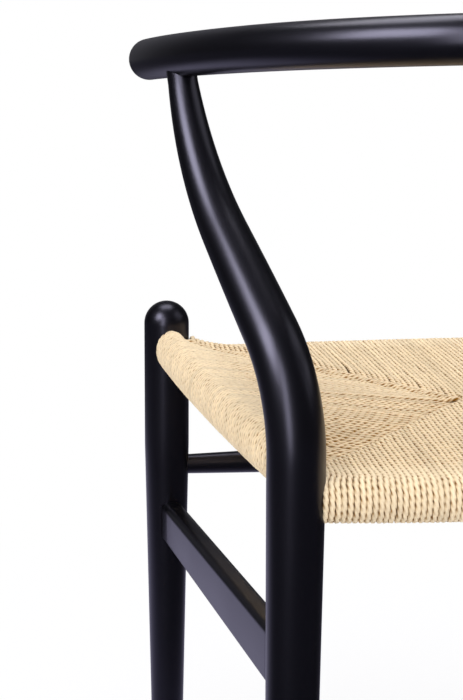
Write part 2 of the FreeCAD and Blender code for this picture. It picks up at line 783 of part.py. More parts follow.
def weave_panel():
    """The cord between the rails: flat facets from each rail down to the two diagonals."""
    half = value_of(wrap_height / 2) - value_of(seat_edge_sink)
    back_half = half - value_of(bar_height - back_bar_depth) / 2
    corner_half = (half + back_half) / 2
    front_z, back_z = value_of(front_bar_height), value_of(back_bar_height)
    side_front_z, side_back_z = value_of(side_bar_front_height), value_of(side_bar_back_height)
    leg = value_of(front_leg_radius)
    back_leg = value_of(back_leg_radius)
    x_front, x_back = value_of(front_x), value_of(back_x)
    y_front, y_back = value_of(front_y), value_of(back_y)
    middle = value_of(seat_middle_half_length)
    # The diagonals leave the back legs at 45 degrees and meet over the seat's middle
    middle_y = y_back - back_leg - (x_back - back_leg - middle)
    middle_z = value_of(seat_middle_height) - value_of(seat_middle_thickness) / 2
    middle_half = value_of(seat_middle_thickness) / 2
    spots = {
        "front": (x_front - leg, y_front, front_z, half),
        "front_corner": (x_front - leg, y_front + leg, (front_z + side_front_z) / 2, half),
        "side_front": (x_front, y_front, side_front_z, half),
        "side_back": (x_back, y_back, side_back_z, half),
        "back_corner": (x_back - back_leg, y_back - back_leg, (back_z + side_back_z) / 2,
                        corner_half),
        "back": (x_back - back_leg, y_back, back_z, back_half),
        "middle": (middle, middle_y, middle_z, middle_half),
    }

    def spot(name, top, side):
        x, y, z, thick = spots[name]
        return Vector(x * side, y, z + (thick if top else -thick))

    faces = []
    for top in (True, False):
        for side in (1, -1):
            for names in (("front", "side_front", "front_corner"),
                          ("front", "front_corner", "middle"),
                          ("side_front", "middle", "front_corner"),
                          ("side_front", "side_back", "middle"),
                          ("side_back", "back_corner", "middle"),
                          ("side_back", "back", "back_corner"),
                          ("back", "middle", "back_corner")):
                corners = [spot(name, top, side) for name in names]
                faces.append(Part.Face(Part.makePolygon(corners + corners[:1])))
        for names in (("front", "middle"), ("back", "middle")):
            corners = [spot(names[0], top, 1), spot(names[1], top, 1),
                       spot(names[1], top, -1), spot(names[0], top, -1)]
            faces.append(Part.Face(Part.makePolygon(corners + corners[:1])))
    rim = [("front", "side_front"), ("side_front", "side_back"), ("side_back", "back")]
    for side in (1, -1):
        for first, last in rim:
            corners = [spot(first, True, side), spot(last, True, side),
                       spot(last, False, side), spot(first, False, side)]
            for turn in ((0, 1, 2), (0, 2, 3)):
                loop = [corners[index] for index in turn]
                faces.append(Part.Face(Part.makePolygon(loop + loop[:1])))
    for name in ("front", "back"):
        corners = [spot(name, True, 1), spot(name, True, -1),
                   spot(name, False, -1), spot(name, False, 1)]
        faces.append(Part.Face(Part.makePolygon(corners + corners[:1])))
    solid = Part.Solid(Part.makeShell(faces))
    solid.fix(0, 0, 0)
    panel = doc.addObject("Part::Feature", "weave_panel")
    panel.Shape = solid
    return panel


def tack_rod(name, number, radius, length, outward):
    """A rod square to the side rail's bow that starts outward of the rail's inner face."""
    bend = bow_radius(side_span)
    along = side_span / 2 - tack_first - tack_spacing * number
    turned_by = arc_sine(along / bend)
    start = bend - bar_width / 2 + outward
    return rod(name, radius, length, start * sine(turned_by),
               bar_bow - bend + start * cosine(turned_by), roll=value_of(-QUARTER_TURN),
               yaw=-turned_by)


def tack(name, number, grow):
    """One cord tack: a thin head on the side rail's inner face and a shank in the rail."""
    thickness = tack_head_thickness + grow
    head = tack_head_diameter / 2 + grow
    shank = tack_shank_diameter / 2 + grow
    length = tack_shank_length + tack_clearance
    return [tack_rod(f"{name}_head", number, head, thickness, -(thickness + tack_clearance)),
            tack_rod(f"{name}_shank", number, shank, length, -tack_clearance)]


def tack_hole(name, number, grow):
    """The hole that one tack's shank makes in the side rail."""
    hole = tack_shank_diameter / 2 + grow
    depth = tack_head_thickness + tack_shank_length + grow
    return [tack_rod(f"{name}_hole", number, hole, depth, -tack_head_thickness)]


def side_tacks(name, one=tack, grow=ZERO):
    """Every tack or tack hole of the left side rail, placed as the rail is."""
    parts = []
    for number in range(TACKS_PER_SIDE):
        parts.extend(one(f"{name}_{number}", number, grow))
    return at_side(join(name, parts))


# Finished pieces. A mortise is cut by the piece that goes into it, grown by its clearance.
side_cutter = side_bar("side_mortise", joint_clearance)
blade_cutter = blade("blade_mortise", joint_clearance)
front_leg_left = cut("front_leg_left", front_leg_blank(), [
    front_bar("front_mortise", joint_clearance),
    side_cutter,
    blade_cutter,
    spindle("front_spindle_mortise", front_leg_spread, front_leg_radius, front_y,
            front_stretcher_height, joint_clearance),
])
back_leg_left = cut("back_leg_left", back_leg_blank(), [
    back_bar("back_mortise", joint_clearance),
    side_cutter,
    blade_cutter,
    spindle("back_spindle_mortise", back_leg_spread, back_leg_radius, back_y,
            back_stretcher_height, joint_clearance),
])
rail_mortise_drill = back_leg_end("rail_mortise_drill", joint_clearance, leg_top_diameter)
rail_mortise = on_leg_plane(group("rail_mortise", [rail_mortise_drill]))
top_rail = cut("top_rail", top_rail_blank(), [
    rail_mortise,
    mirrored("rail_mortise_right", rail_mortise),
    splat_board("splat_mortise", joint_clearance),
])
doc.recompute()
splat_face = splat_board("splat")
doc.recompute()
splat_softened = soften("splat_softened", splat_face, splat_edge_radius, splat_waist_width)
back_splat = join("back_splat", [splat_softened, splat_tenon("splat_tongue")])
seat_rail_front = front_bar("seat_rail_front")
seat_rail_back = cut("seat_rail_back", back_bar("back_rail"), [
    splat_tenon("splat_tongue_mortise", joint_clearance)])
cord_tacks_left = side_tacks("cord_tacks_left")
seat_rail_left = cut("seat_rail_left", side_bar("side_rail"), [
    side_tacks("tack_holes", tack_hole, tack_clearance)])
side_stretcher_left = blade("side_stretcher_left")
front_stretcher = spindle("front_stretcher", front_leg_spread, front_leg_radius, front_y,
                          front_stretcher_height)
back_stretcher = spindle("back_stretcher", back_leg_spread, back_leg_radius, back_y,
                         back_stretcher_height)

# The seat: wraps and panel in one, with room for the rails, legs, tacks and splat
front_reach = front_leg_radius + shoulder_gap
back_reach = back_leg_radius + shoulder_gap
wraps = []
rooms = []
for parts, grow in ((wraps, cord_diameter), (rooms, seat_gap)):
    kind = "wrap" if parts is wraps else "room"
    parts.append(at_front(wrap(f"front_{kind}", front_span, front_reach, grow)))
    parts.append(at_back(wrap(f"back_{kind}", back_span, back_reach, grow, back_bar_depth,
                              back_bar_bow)))
    side = at_side(wrap(f"side_{kind}", side_span, back_reach, grow))
    parts.append(side)
    parts.append(mirrored(f"right_side_{kind}", side))
# The room for each leg starts well below the seat and ends above it
leg_room_low = blade_underside
post_room_height = knee_height - leg_room_low
for name, radius, height, x, y in (
        ("front", front_leg_radius, front_leg_height, front_x, front_y),
        ("back", back_leg_radius, post_room_height, back_x, back_y)):
    post = rod(f"{name}_leg_room", radius + seat_gap, height, x, y, leg_room_low)
    rooms.append(post)
    rooms.append(mirrored(f"right_{name}_leg_room", post))
# Above the knee the room widens as fast as the leg's centreline leans out of it
knee_room_rise = wrap_height / 2
knee_room_reach = knee_radius - root(knee_radius * knee_radius - knee_room_rise * knee_room_rise)
knee_room = doc.addObject("Part::Cone", "knee_room")
bind(knee_room, Radius1=back_leg_radius + seat_gap, Height=wrap_height,
     Radius2=back_leg_radius + seat_gap + knee_room_reach * 2)
place(knee_room, back_x, back_y, knee_height)
rooms.append(knee_room)
rooms.append(mirrored("right_knee_room", knee_room))
tack_rooms = side_tacks("tack_room", grow=seat_gap)
rooms.append(tack_rooms)
rooms.append(mirrored("right_tack_room", tack_rooms))
rooms.append(splat_board("splat_room", seat_gap))
rooms.append(splat_tenon("splat_tongue_room", seat_gap))
woven_seat = cut("woven_seat", join("weave_form", wraps + [weave_panel()]), rooms)

pieces = {
    "front_leg_left": front_leg_left,
    "front_leg_right": mirrored("front_leg_right", front_leg_left),
    "back_leg_left": back_leg_left,
    "back_leg_right": mirrored("back_leg_right", back_leg_left),
    "top_rail": top_rail,
    "back_splat": back_splat,
    "seat_rail_front": seat_rail_front,
    "seat_rail_back": seat_rail_back,
    "seat_rail_left": seat_rail_left,
    "seat_rail_right": mirrored("seat_rail_right", seat_rail_left),
    "side_stretcher_left": side_stretcher_left,
    "side_stretcher_right": mirrored("side_stretcher_right", side_stretcher_left),
    "front_stretcher": front_stretcher,
    "back_stretcher": back_stretcher,
    "woven_seat": woven_seat,
    "cord_tacks": join("cord_tacks", [cord_tacks_left, mirrored("cord_tacks_right", cord_tacks_left)]),
}
for name, piece in pieces.items():
    piece.Label = name
doc.recompute()

for item in doc.Objects:
    if "Invalid" in item.State or "Error" in item.State:
        raise RuntimeError(f"{item.Name} failed to recompute: {item.State}")
for name, piece in pieces.items():
    if piece.Shape.isNull() or not piece.Shape.isValid():
        raise RuntimeError(f"{name} has no valid shape")

os.makedirs("parts", exist_ok=True)
for name, piece in pieces.items():
    piece.Shape.exportStep(f"parts/{name}.step")
    print(f"{name}: {len(piece.Shape.Solids)} solid(s), {piece.Shape.Volume:.0f} mm3")
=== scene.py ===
import math

import bpy
import numpy as np
from bpy.props import FloatProperty, FloatVectorProperty, IntProperty, PointerProperty
from mathutils import Matrix, Vector


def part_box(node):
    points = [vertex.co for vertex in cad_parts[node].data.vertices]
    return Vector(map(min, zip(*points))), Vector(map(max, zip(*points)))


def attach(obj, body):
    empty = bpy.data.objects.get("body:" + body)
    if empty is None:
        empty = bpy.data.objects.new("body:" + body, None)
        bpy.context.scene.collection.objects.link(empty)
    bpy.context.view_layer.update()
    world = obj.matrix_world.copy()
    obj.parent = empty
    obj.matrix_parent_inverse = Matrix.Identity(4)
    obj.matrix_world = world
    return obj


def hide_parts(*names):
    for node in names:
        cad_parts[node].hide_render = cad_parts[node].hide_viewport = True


# A wishbone chair seen from behind its left side: black lacquered wood, smooth and satin, and
# a seat wound from twisted paper cord. Lengths are in metres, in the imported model's frame:
# the floor is z = 0, the front is -Y and the sitter's left is +X.

bl_info = {
    "name": "Wishbone Chair",
    "version": (1, 0, 0),
    "blender": (4, 5, 0),
    "location": "View3D > Sidebar > Chair",
    "description": "Builds the chair's wood, its woven cord seat and the studio round it",
    "category": "Object",
}

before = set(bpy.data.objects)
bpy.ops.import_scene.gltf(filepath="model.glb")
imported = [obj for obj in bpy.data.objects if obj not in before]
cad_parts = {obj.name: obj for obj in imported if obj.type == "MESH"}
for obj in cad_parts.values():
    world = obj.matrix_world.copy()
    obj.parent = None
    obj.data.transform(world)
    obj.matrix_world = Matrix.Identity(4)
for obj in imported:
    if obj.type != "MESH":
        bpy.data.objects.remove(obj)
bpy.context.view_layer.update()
MM = 0.001
FULL_TURN = 2 * math.pi


# Colours and materials
def srgb(code):
    """An sRGB hex colour as linear red, green, blue and alpha."""
    channels = [int(code[place:place + 2], 16) / 255 for place in (1, 3, 5)]
    linear = [c / 12.92 if c <= 0.04045 else ((c + 0.055) / 1.055) ** 2.4 for c in channels]
    return (*linear, 1.0)


def metres(name, description, default):
    return FloatProperty(name=name, description=description, default=default, unit="LENGTH")


def degrees(name, description, default):
    return FloatProperty(name=name, description=description, default=math.radians(default),
                         subtype="ANGLE")


def colour(name, description, code):
    return FloatVectorProperty(name=name, description=description, default=srgb(code), size=4,
                               subtype="COLOR")


class ChairWoodSizes(bpy.types.PropertyGroup):
    """The turned and bent pieces."""

    front_leg_diameter: metres("Front leg", "Diameter above the taper", 0.041)
    front_leg_height: metres("Front leg height", "Floor to round top", 0.4815)
    front_taper_height: metres("Front taper", "Where the taper ends", 0.346)
    front_foot_diameter: metres("Front foot", "Diameter of a front foot", 0.0275)
    back_foot_diameter: metres("Back foot", "Diameter of a back foot", 0.0285)
    foot_bevel: metres("Foot bevel", "Bevel round every foot", 0.002)
    back_leg_diameter: metres("Back leg", "Diameter at the knee", 0.0422)
    back_calf_diameter: metres("Calf", "Diameter at the calf", 0.0395)
    back_calf_height: metres("Calf height", "Where the calf is measured", 0.262)
    back_neck_length: metres("Back neck", "Straight run under the knee", 0.018)
    knee_height: metres("Knee height", "Where the sweep starts", 0.44173)
    knee_radius: metres("Knee radius", "Radius of the bend over the seat", 0.115)
    knee_angle: degrees("Knee angle", "Lean of the slant", 48.6)
    slant_length: metres("Slant", "Straight run between the bends", 0.09069)
    top_bend_radius: metres("Top bend", "Radius of the bend under the rail", 0.2415)
    leg_top_angle: degrees("Top lean", "Lean of the leg at the rail", 18.2)
    leg_top_diameter: metres("Leg top", "Diameter at the rail", 0.023)
    leg_top_run: metres("Leg end", "Straight end, tenon included", 0.022)
    rail_thickness: metres("Top rail", "Diameter of the top rail", 0.0329)
    rail_tilt: degrees("Rail tilt", "How far the rail dips forward", 5.2)
    spindle_end: metres("Spindle end", "Diameter at the legs", 0.0182)
    spindle_middle: metres("Spindle middle", "Diameter half way", 0.0238)
    blade_thickness: metres("Blade", "Thickness of a side stretcher", 0.019)
    blade_edge: metres("Blade edge", "Radius of its edges", 0.006)


class ChairSeatSizes(bpy.types.PropertyGroup):
    """The cord and how it is wound."""

    cord_diameter: metres("Cord", "Diameter of the cord", 0.0042)
    cord_lay: metres("Lay", "Length of one full twist", 0.018)
    ring_spacing: metres("Ring spacing", "Distance between the cord's rings", 0.0024)
    front_corner_courses: IntProperty(
        name="Front courses", description="Turns that meet on each front diagonal", default=48)
    back_corner_courses: IntProperty(
        name="Back courses", description="Turns that meet on each back diagonal", default=37)
    middle_courses: IntProperty(
        name="Middle courses", description="Turns between the diagonals", default=5)
    looseness: metres("Looseness", "How far a turn strays", 0.00028)


class ChairColours(bpy.types.PropertyGroup):
    """The finishes' colours, and the painted shade of the cord's grooves and of the crevices
    between its turns.
    """

    lacquer: colour("Lacquer", "Black lacquer", "#09090C")
    lacquer_sheen: colour("Lacquer sheen", "The cool cast of the lacquer's sheen", "#E6E3FF")
    cord_light: colour("Cord crowns", "Paper where it catches light", "#F3E0B8")
    # Painted shade: the plies' grooves take this darker brown in place of the shade that falls in
    # them
    cord_groove_shade: colour("Cord grooves", "Paper between the plies", "#C99A55")
    # Painted shade: this brown is put where two turns meet, in place of the shade in the crevices
    # between them
    cord_contact: colour("Cord contacts", "Paper where two turns touch", "#8E6018")
    beech_light: colour("Beech", "Unfinished wood of the seat rails", "#B98A52")
    beech_dark: colour("Beech grain", "Darker flecks in that wood", "#8A5E30")
    steel: colour("Tack steel", "Plain steel of the tacks", "#8E8C88")


def add_node(tree, kind, settings=None, **links):
    """Add a shader node, set its own settings, and set or link its inputs by name or number."""
    node = tree.nodes.new(f"ShaderNode{kind}")
    for name, value in (settings or {}).items():
        setattr(node, name, value)
    for name, value in links.items():
        socket = node.inputs[int(name[1:]) if name[1:].isdigit() else name.replace("_", " ")]
        if isinstance(value, bpy.types.NodeSocket):
            tree.links.new(value, socket)
        else:
            socket.default_value = value
    return node


def new_material(name):
    """A node material with nothing in it, its tree and the chair's colours."""
    material = bpy.data.materials.new(name)
    material.use_nodes = True
    material.node_tree.nodes.clear()
    return material, material.node_tree, bpy.context.scene.chair_colours


def finish_material(tree, surface):
    add_node(tree, "OutputMaterial", Surface=surface.outputs[0])


def object_place(tree):
    return add_node(tree, "TexCoord").outputs["Object"]


def noise(tree, place, scale, detail):
    """A noise texture's value, from 0 to 1."""
    return add_node(tree, "TexNoise", Vector=place, Scale=scale, Detail=detail).outputs[0]


def stretched(tree, place, scale):
    """A place scaled differently along each axis."""
    return add_node(tree, "Mapping", Vector=place, Scale=scale).outputs[0]


def ramp(tree, value, source, target=(0.0, 1.0), interpolation="SMOOTHSTEP"):
    """A value carried from its source range into the target range, and held there."""
    return add_node(tree, "MapRange", {"interpolation_type": interpolation},
                    Value=value, From_Min=source[0], From_Max=source[1], To_Min=target[0],
                    To_Max=target[1]).outputs[0]


def calculate(tree, operation, *values, clamp=False):
    """One sum on values or sockets."""
    links = {f"_{place}": value for place, value in enumerate(values)}
    return add_node(tree, "Math", {"operation": operation, "use_clamp": clamp}, **links).outputs[0]


def blend(tree, share, first, second, kind="MIX"):
    """Two colours mixed by a share of the second."""
    return add_node(tree, "Mix", {"data_type": "RGBA", "blend_type": kind}, _0=share,
                    _6=first, _7=second).outputs[2]


def satin_black_lacquer():
    """Black nitrocellulose lacquer, sprayed on turned beech and rubbed to a satin: a near black
    body under a soft broad sheen, with a faint unevenness where the spray levelled."""
    material, tree, colours = new_material("satin black lacquer")
    place = object_place(tree)
    levelled = noise(tree, place, 140.0, 3.0)
    rubbed = noise(tree, place, 18.0, 2.0)
    roughness = ramp(tree, rubbed, (0.0, 1.0), (0.29, 0.35), "LINEAR")
    bump = add_node(tree, "Bump", Height=levelled, Distance=0.02 * MM, Strength=0.3)
    shader = add_node(tree, "BsdfPrincipled", Base_Color=colours.lacquer,
                      Roughness=roughness, Normal=bump.outputs[0], IOR=1.5,
                      Specular_Tint=colours.lacquer_sheen)
    finish_material(tree, shader)
    return material


def paper_cord():
    """Twisted kraft paper cord, unbleached and lightly waxed: straw coloured plies with fine paper
    wrinkles along them, each turn a little different, and painted shade: darker in the plies'
    grooves, and brown where two turns meet, in the crevices between them."""
    material, tree, colours = new_material("twisted paper cord")
    along = add_node(tree, "UVMap", {"uv_map": "along_cord"}).outputs[0]
    ply, touch, tone = (
        add_node(tree, "Attribute", {"attribute_name": label}).outputs["Fac"]
        for label in ("ply_height", "turn_contact", "turn_tone"))
    wrinkles = noise(tree, stretched(tree, along, (180.0, 1600.0, 1.0)), 1.0, 4.0)
    patches = noise(tree, object_place(tree), 26.0, 3.0)
    # Painted shade: the paper is mixed towards the groove brown the deeper a point lies in the
    # plies' grooves
    base = blend(tree, ramp(tree, ply, (-0.1, 0.6)), colours.cord_groove_shade, colours.cord_light)
    # Painted shade: brown mixed in where two turns meet, in place of the shade in the crevices
    # between them
    held = calculate(tree, "MULTIPLY", touch, 0.9, clamp=True)
    paper = blend(tree, held, base, colours.cord_contact)
    shade = calculate(tree, "MULTIPLY_ADD", tone, 0.08, 1.0)
    worn = calculate(tree, "MULTIPLY_ADD", patches, 0.16, shade)
    streak = calculate(tree, "MULTIPLY_ADD", wrinkles, 0.24, worn)
    level = calculate(tree, "SUBTRACT", streak, 0.20)
    tinted = blend(tree, 1.0, paper, level, "MULTIPLY")
    bump = add_node(tree, "Bump", Height=wrinkles, Distance=0.2 * MM, Strength=0.5)
    shader = add_node(tree, "BsdfPrincipled", Base_Color=tinted,
                      Normal=bump.outputs[0], Roughness=0.62, IOR=1.5,
                      Specular_Tint=colours.cord_groove_shade)
    finish_material(tree, shader)
    return material


def unfinished_beech():
    """Planed beech without a finish, as the seat rails have under the cord: pinkish tan with
    fine darker flecks along the grain."""
    material, tree, colours = new_material("unfinished beech")
    grain = noise(tree, stretched(tree, object_place(tree), (60.0, 60.0, 900.0)), 1.0, 4.0)
    tint = blend(tree, grain, colours.beech_dark, colours.beech_light)
    shader = add_node(tree, "BsdfPrincipled", Base_Color=tint, Roughness=0.6, IOR=1.5)
    finish_material(tree, shader)
    return material


def tack_steel():
    """Bright drawn steel of the cord tacks, dulled a little by handling."""
    material, tree, colours = new_material("plain tack steel")
    dulled = noise(tree, object_place(tree), 900.0, 2.0)
    roughness = ramp(tree, dulled, (0.0, 1.0), (0.30, 0.45), "LINEAR")
    shader = add_node(tree, "BsdfPrincipled", Base_Color=colours.steel,
                      Metallic=1.0, Roughness=roughness)
    finish_material(tree, shader)
    return material


MATERIALS = {}


def material_of(maker):
    """The material that maker makes, made once."""
    if maker.__name__ not in MATERIALS:
        MATERIALS[maker.__name__] = maker()
    return MATERIALS[maker.__name__]


# Meshes from arrays
def mesh_piece(name, points, quads, triangles, material, slot, node):
    """A closed smooth mesh from arrays of points and faces, turned outwards, that rides on the
    chair and stands for its CAD node."""
    fan = np.array(triangles, dtype=np.int64).reshape(-1, 3)
    flat = np.array(quads, dtype=np.int64).reshape(-1, 4)
    corners = np.concatenate([flat[:, [0, 1, 2]], flat[:, [0, 2, 3]], fan])
    a, b, c = (points[corners[:, side]] for side in range(3))
    if np.einsum("ij,ij->i", a, np.cross(b, c)).sum() < 0:
        flat, fan = flat[:, ::-1], fan[:, ::-1]
    mesh = bpy.data.meshes.new(name)
    mesh.vertices.add(len(points))
    mesh.vertices.foreach_set("co", points.astype(np.float32).ravel())
    mesh.loops.add(flat.size + fan.size)
    order = np.concatenate([flat.ravel(), fan.ravel()]).astype(np.int32)
    mesh.loops.foreach_set("vertex_index", order)
    mesh.polygons.add(len(flat) + len(fan))
    starts = np.concatenate([np.arange(len(flat)) * 4, flat.size + np.arange(len(fan)) * 3])
    mesh.polygons.foreach_set("loop_start", starts.astype(np.int32))
    mesh.update(calc_edges=True)
    mesh.validate()
    mesh.shade_smooth()
    mesh.materials.append(material)
    piece = bpy.data.objects.new(name, mesh)
    bpy.context.scene.collection.objects.link(piece)
    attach(piece, "root")
    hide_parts(node)
    return piece


def tube_faces(rows, sides, start=0):
    """Quads between the rings of a tube, and a fan of triangles from a pole at each end. The
    poles are the two points after the last ring."""
    row, side = np.meshgrid(np.arange(rows - 1), np.arange(sides), indexing="ij")
    following = (side + 1) % sides
    here, there = start + row * sides, start + (row + 1) * sides
    quads = np.stack([here + side, here + following, there + following, there + side], axis=-1)
    first_pole = start + rows * sides
    turn = np.arange(sides)
    onward = (turn + 1) % sides
    last = start + (rows - 1) * sides
    low = np.stack([np.full(sides, first_pole), start + onward, start + turn], axis=-1)
    high = np.stack([np.full(sides, first_pole + 1), last + turn, last + onward], axis=-1)
    return quads.reshape(-1, 4), np.concatenate([low, high])


def closed_tube(rings):
    """Points and faces of a tube from its rings, an array of rows by sides by three."""
    rows, sides = rings.shape[:2]
    poles = np.stack([rings[0].mean(axis=0), rings[-1].mean(axis=0)])
    points = np.concatenate([rings.reshape(-1, 3), poles])
    return points, *tube_faces(rows, sides)


def lathe_rings(profile, sides=64):
    """Rings about Z: each profile point (radius, height) turned through a full circle."""
    angle = np.linspace(0, FULL_TURN, sides, endpoint=False)
    radius, height = np.array(profile).T
    rings = np.empty((len(radius), sides, 3))
    rings[:, :, 0] = radius[:, None] * np.cos(angle)
    rings[:, :, 1] = radius[:, None] * np.sin(angle)
    rings[:, :, 2] = height[:, None]
    return rings


def swept_rings(path, radii, across, sides=64):
    """Rings square to a path that lies in one plane; across is that plane's own normal. Each
    ring is the path's point plus radius times (across cos a + lift sin a), where lift is the
    path's direction crossed with across."""
    direction = np.gradient(path, axis=0)
    direction /= np.linalg.norm(direction, axis=1, keepdims=True)
    lift = np.cross(direction, across)
    angle = np.linspace(0, FULL_TURN, sides, endpoint=False)
    spoke = across * np.cos(angle)[None, :, None] + lift[:, None, :] * np.sin(angle)[None, :, None]
    return path[:, None, :] + spoke * np.asarray(radii)[:, None, None]


def wooden(node, rings):
    """The lacquered wood that stands for a CAD node."""
    mesh_piece(f"{node}_wood", *closed_tube(rings), material_of(satin_black_lacquer),
               "lacquered_wood", node)


def wooden_pair(name, rings):
    """The left piece of a pair, and its mirror image on the right."""
    wooden(f"{name}_left", rings)
    wooden(f"{name}_right", rings * np.array([-1, 1, 1]))


def foot_profile(foot, bevel):
    """A flat sole and its bevel, softened at both corners."""
    soft = bevel / 8
    return [(foot - bevel - soft, 0), (foot - bevel, soft * 0.3), (foot - soft, bevel - soft),
            (foot, bevel + soft)]


# Where the left legs stand, and where the back leg's centreline meets the rail's underside
FRONT_LEG_AXIS = (0.2295, -0.2345)
BACK_LEG_AXIS = (0.1825, 0.1525)
RAIL_JOINT = (0.24241, -0.01538)
# A front leg's first ring over the end of its taper
NECK_START = 0.01
# The last ring of a round end, as a share of its radius: a front leg's top and the rail's tips
LEG_TIP = 0.02
RAIL_TIP = 0.03


class CHAIR_OT_front_legs(bpy.types.Operator):
    """Turn the two front legs: a long taper, a straight neck and a round top"""

    bl_idname = "chair.front_legs"
    bl_label = "Front legs"

    def execute(self, context):
        sizes = context.scene.chair_wood
        radius = sizes.front_leg_diameter / 2
        neck = sizes.front_leg_height - radius
        profile = foot_profile(sizes.front_foot_diameter / 2, sizes.foot_bevel)
        heights = np.linspace(0.02, 1, 24)
        foot = profile[-1]
        profile += [(foot[0] + (radius - foot[0]) * share,
                     foot[1] + (sizes.front_taper_height - foot[1]) * share) for share in heights]
        straight = np.linspace(sizes.front_taper_height + NECK_START, neck, 6)
        profile += [(radius, height) for height in straight]
        turn = np.linspace(0, math.pi / 2, 20)[1:-1]
        profile += [(radius * math.cos(a), neck + radius * math.sin(a)) for a in turn]
        profile.append((radius * LEG_TIP, sizes.front_leg_height))
        low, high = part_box("front_leg_left")
        middle = np.array([(low.x + high.x) / 2, low.y + radius, 0])
        rings = lathe_rings(profile) + middle
        wooden_pair("front_leg", rings)
        return {"FINISHED"}


def leg_sweep(sizes):
    """The back leg's centreline as (reach, height, radius) from the foot to its tenon: up to
    the knee, round it, along the slant, round the top bend and straight into the rail. The
    radius slims by the square of the share of the sweep travelled."""
    foot = foot_profile(sizes.back_foot_diameter / 2, sizes.foot_bevel)
    neck = sizes.knee_height - sizes.back_neck_length
    heights = np.array([0.02, *np.linspace(0.05, sizes.back_calf_height, 10),
                        *np.linspace(sizes.back_calf_height, neck, 8)[1:],
                        (neck + sizes.knee_height) / 2])
    radii = np.interp(heights, [foot[-1][1], sizes.back_calf_height, neck],
                      [foot[-1][0], sizes.back_calf_diameter / 2, sizes.back_leg_diameter / 2])
    lower = [(0, height, radius) for radius, height in foot]
    lower += [(0, height, radius) for height, radius in zip(heights, radii)]
    knee = np.linspace(0, sizes.knee_angle, 26)
    reach = sizes.knee_radius * (1 - np.cos(knee))
    height = sizes.knee_height + sizes.knee_radius * np.sin(knee)
    slant = np.linspace(0, sizes.slant_length, 14)[1:]
    slant_reach = reach[-1] + slant * math.sin(sizes.knee_angle)
    slant_height = height[-1] + slant * math.cos(sizes.knee_angle)
    bend = np.linspace(sizes.knee_angle, sizes.leg_top_angle, 24)[1:]
    bend_reach = np.cos(bend) - math.cos(sizes.knee_angle)
    bend_reach = slant_reach[-1] + sizes.top_bend_radius * bend_reach
    bend_height = math.sin(sizes.knee_angle) - np.sin(bend)
    bend_height = slant_height[-1] + sizes.top_bend_radius * bend_height
    knee_length = sizes.knee_radius * knee
    slant_travel = knee_length[-1] + slant
    bend_travel = slant_travel[-1] + sizes.top_bend_radius * (sizes.knee_angle - bend)
    travelled = np.concatenate([knee_length, slant_travel, bend_travel])
    slim = (travelled / travelled[-1]) ** 2
    width = sizes.back_leg_diameter + (sizes.leg_top_diameter - sizes.back_leg_diameter) * slim
    upper = np.stack([np.concatenate([reach, slant_reach, bend_reach]),
                      np.concatenate([height, slant_height, bend_height]), width / 2], axis=1)
    end = np.linspace(0, sizes.leg_top_run, 4)[1:]
    tail = np.stack([upper[-1, 0] + end * math.sin(sizes.leg_top_angle),
                     upper[-1, 1] + end * math.cos(sizes.leg_top_angle),
                     np.full(3, sizes.leg_top_diameter / 2)], axis=1)
    return np.concatenate([np.array(lower), upper, tail])


class CHAIR_OT_back_legs(bpy.types.Operator):
    """Shape the two back legs, turned below and swept forward and outward above the seat"""

    bl_idname = "chair.back_legs"
    bl_label = "Back legs"

    def execute(self, context):
        sizes = context.scene.chair_wood
        sweep = leg_sweep(sizes)
        foot = np.array(BACK_LEG_AXIS)
        rail_joint = np.array(RAIL_JOINT)
        outward = (rail_joint - foot) / np.linalg.norm(rail_joint - foot)
        path = np.zeros((len(sweep), 3))
        path[:, :2] = foot + sweep[:, :1] * outward
        path[:, 2] = sweep[:, 1]
        across = np.array([-outward[1], outward[0], 0])
        rings = swept_rings(path, sweep[:, 2], across)
        rings[0, :, 2] = 0
        wooden_pair("back_leg", rings)
        return {"FINISHED"}


# The top rail's centreline: (radius, how far the line has turned since the rear) of its arcs
RAIL_ARCS = ((0.181, math.radians(35.4)), (0.3115, math.radians(65.5)),
             (0.60775, math.radians(83.4)))
# and its rearmost point: distance behind the chair's middle, and height
RAIL_REAR = (0.23855, 0.738)


def rail_half(steps=60):
    """Points (across, forward) of half the rail's centreline, from the rear to the tip, by
    steps of its turning: across grows by radius times the turning's sine, forward by radius
    times one less its cosine, arc by arc."""
    across, forward = [0.0], [0.0]
    turned = 0.0
    for radius, until in RAIL_ARCS:
        angle = np.linspace(turned, until, int(steps * radius / 0.5) + 12)[1:]
        across.extend(across[-1] + radius * (np.sin(angle) - math.sin(turned)))
        forward.extend(forward[-1] + radius * (math.cos(turned) - np.cos(angle)))
        turned = until
    return np.array(across), np.array(forward), turned


class CHAIR_OT_top_rail(bpy.types.Operator):
    """Bend the round top rail, tip to tip, with a round end on each arm"""

    bl_idname = "chair.top_rail"
    bl_label = "Top rail"

    def execute(self, context):
        sizes = context.scene.chair_wood
        radius = sizes.rail_thickness / 2
        across, forward, turned = rail_half()
        cap = np.linspace(0, math.pi / 2, 16)[1:]
        reach = radius * np.sin(cap)
        across = np.concatenate([across, across[-1] + reach * math.cos(turned)])
        forward = np.concatenate([forward, forward[-1] + reach * math.sin(turned)])
        radii = np.concatenate([np.full(len(across) - len(cap), radius), radius * np.cos(cap)])
        radii[-1] = radius * RAIL_TIP
        across = np.concatenate([-across[:0:-1], across])
        forward = np.concatenate([forward[:0:-1], forward])
        radii = np.concatenate([radii[:0:-1], radii])
        tilt = sizes.rail_tilt
        path = np.stack([across, RAIL_REAR[0] - forward * math.cos(tilt),
                         RAIL_REAR[1] - forward * math.sin(tilt)], axis=1)
        normal = np.array([0, -math.sin(tilt), math.cos(tilt)])
        wooden("top_rail", swept_rings(path, radii, normal))
        return {"FINISHED"}


# A spindle is plain at each end for half a leg's diameter and this much more
SPINDLE_END_RUN = 4 * MM


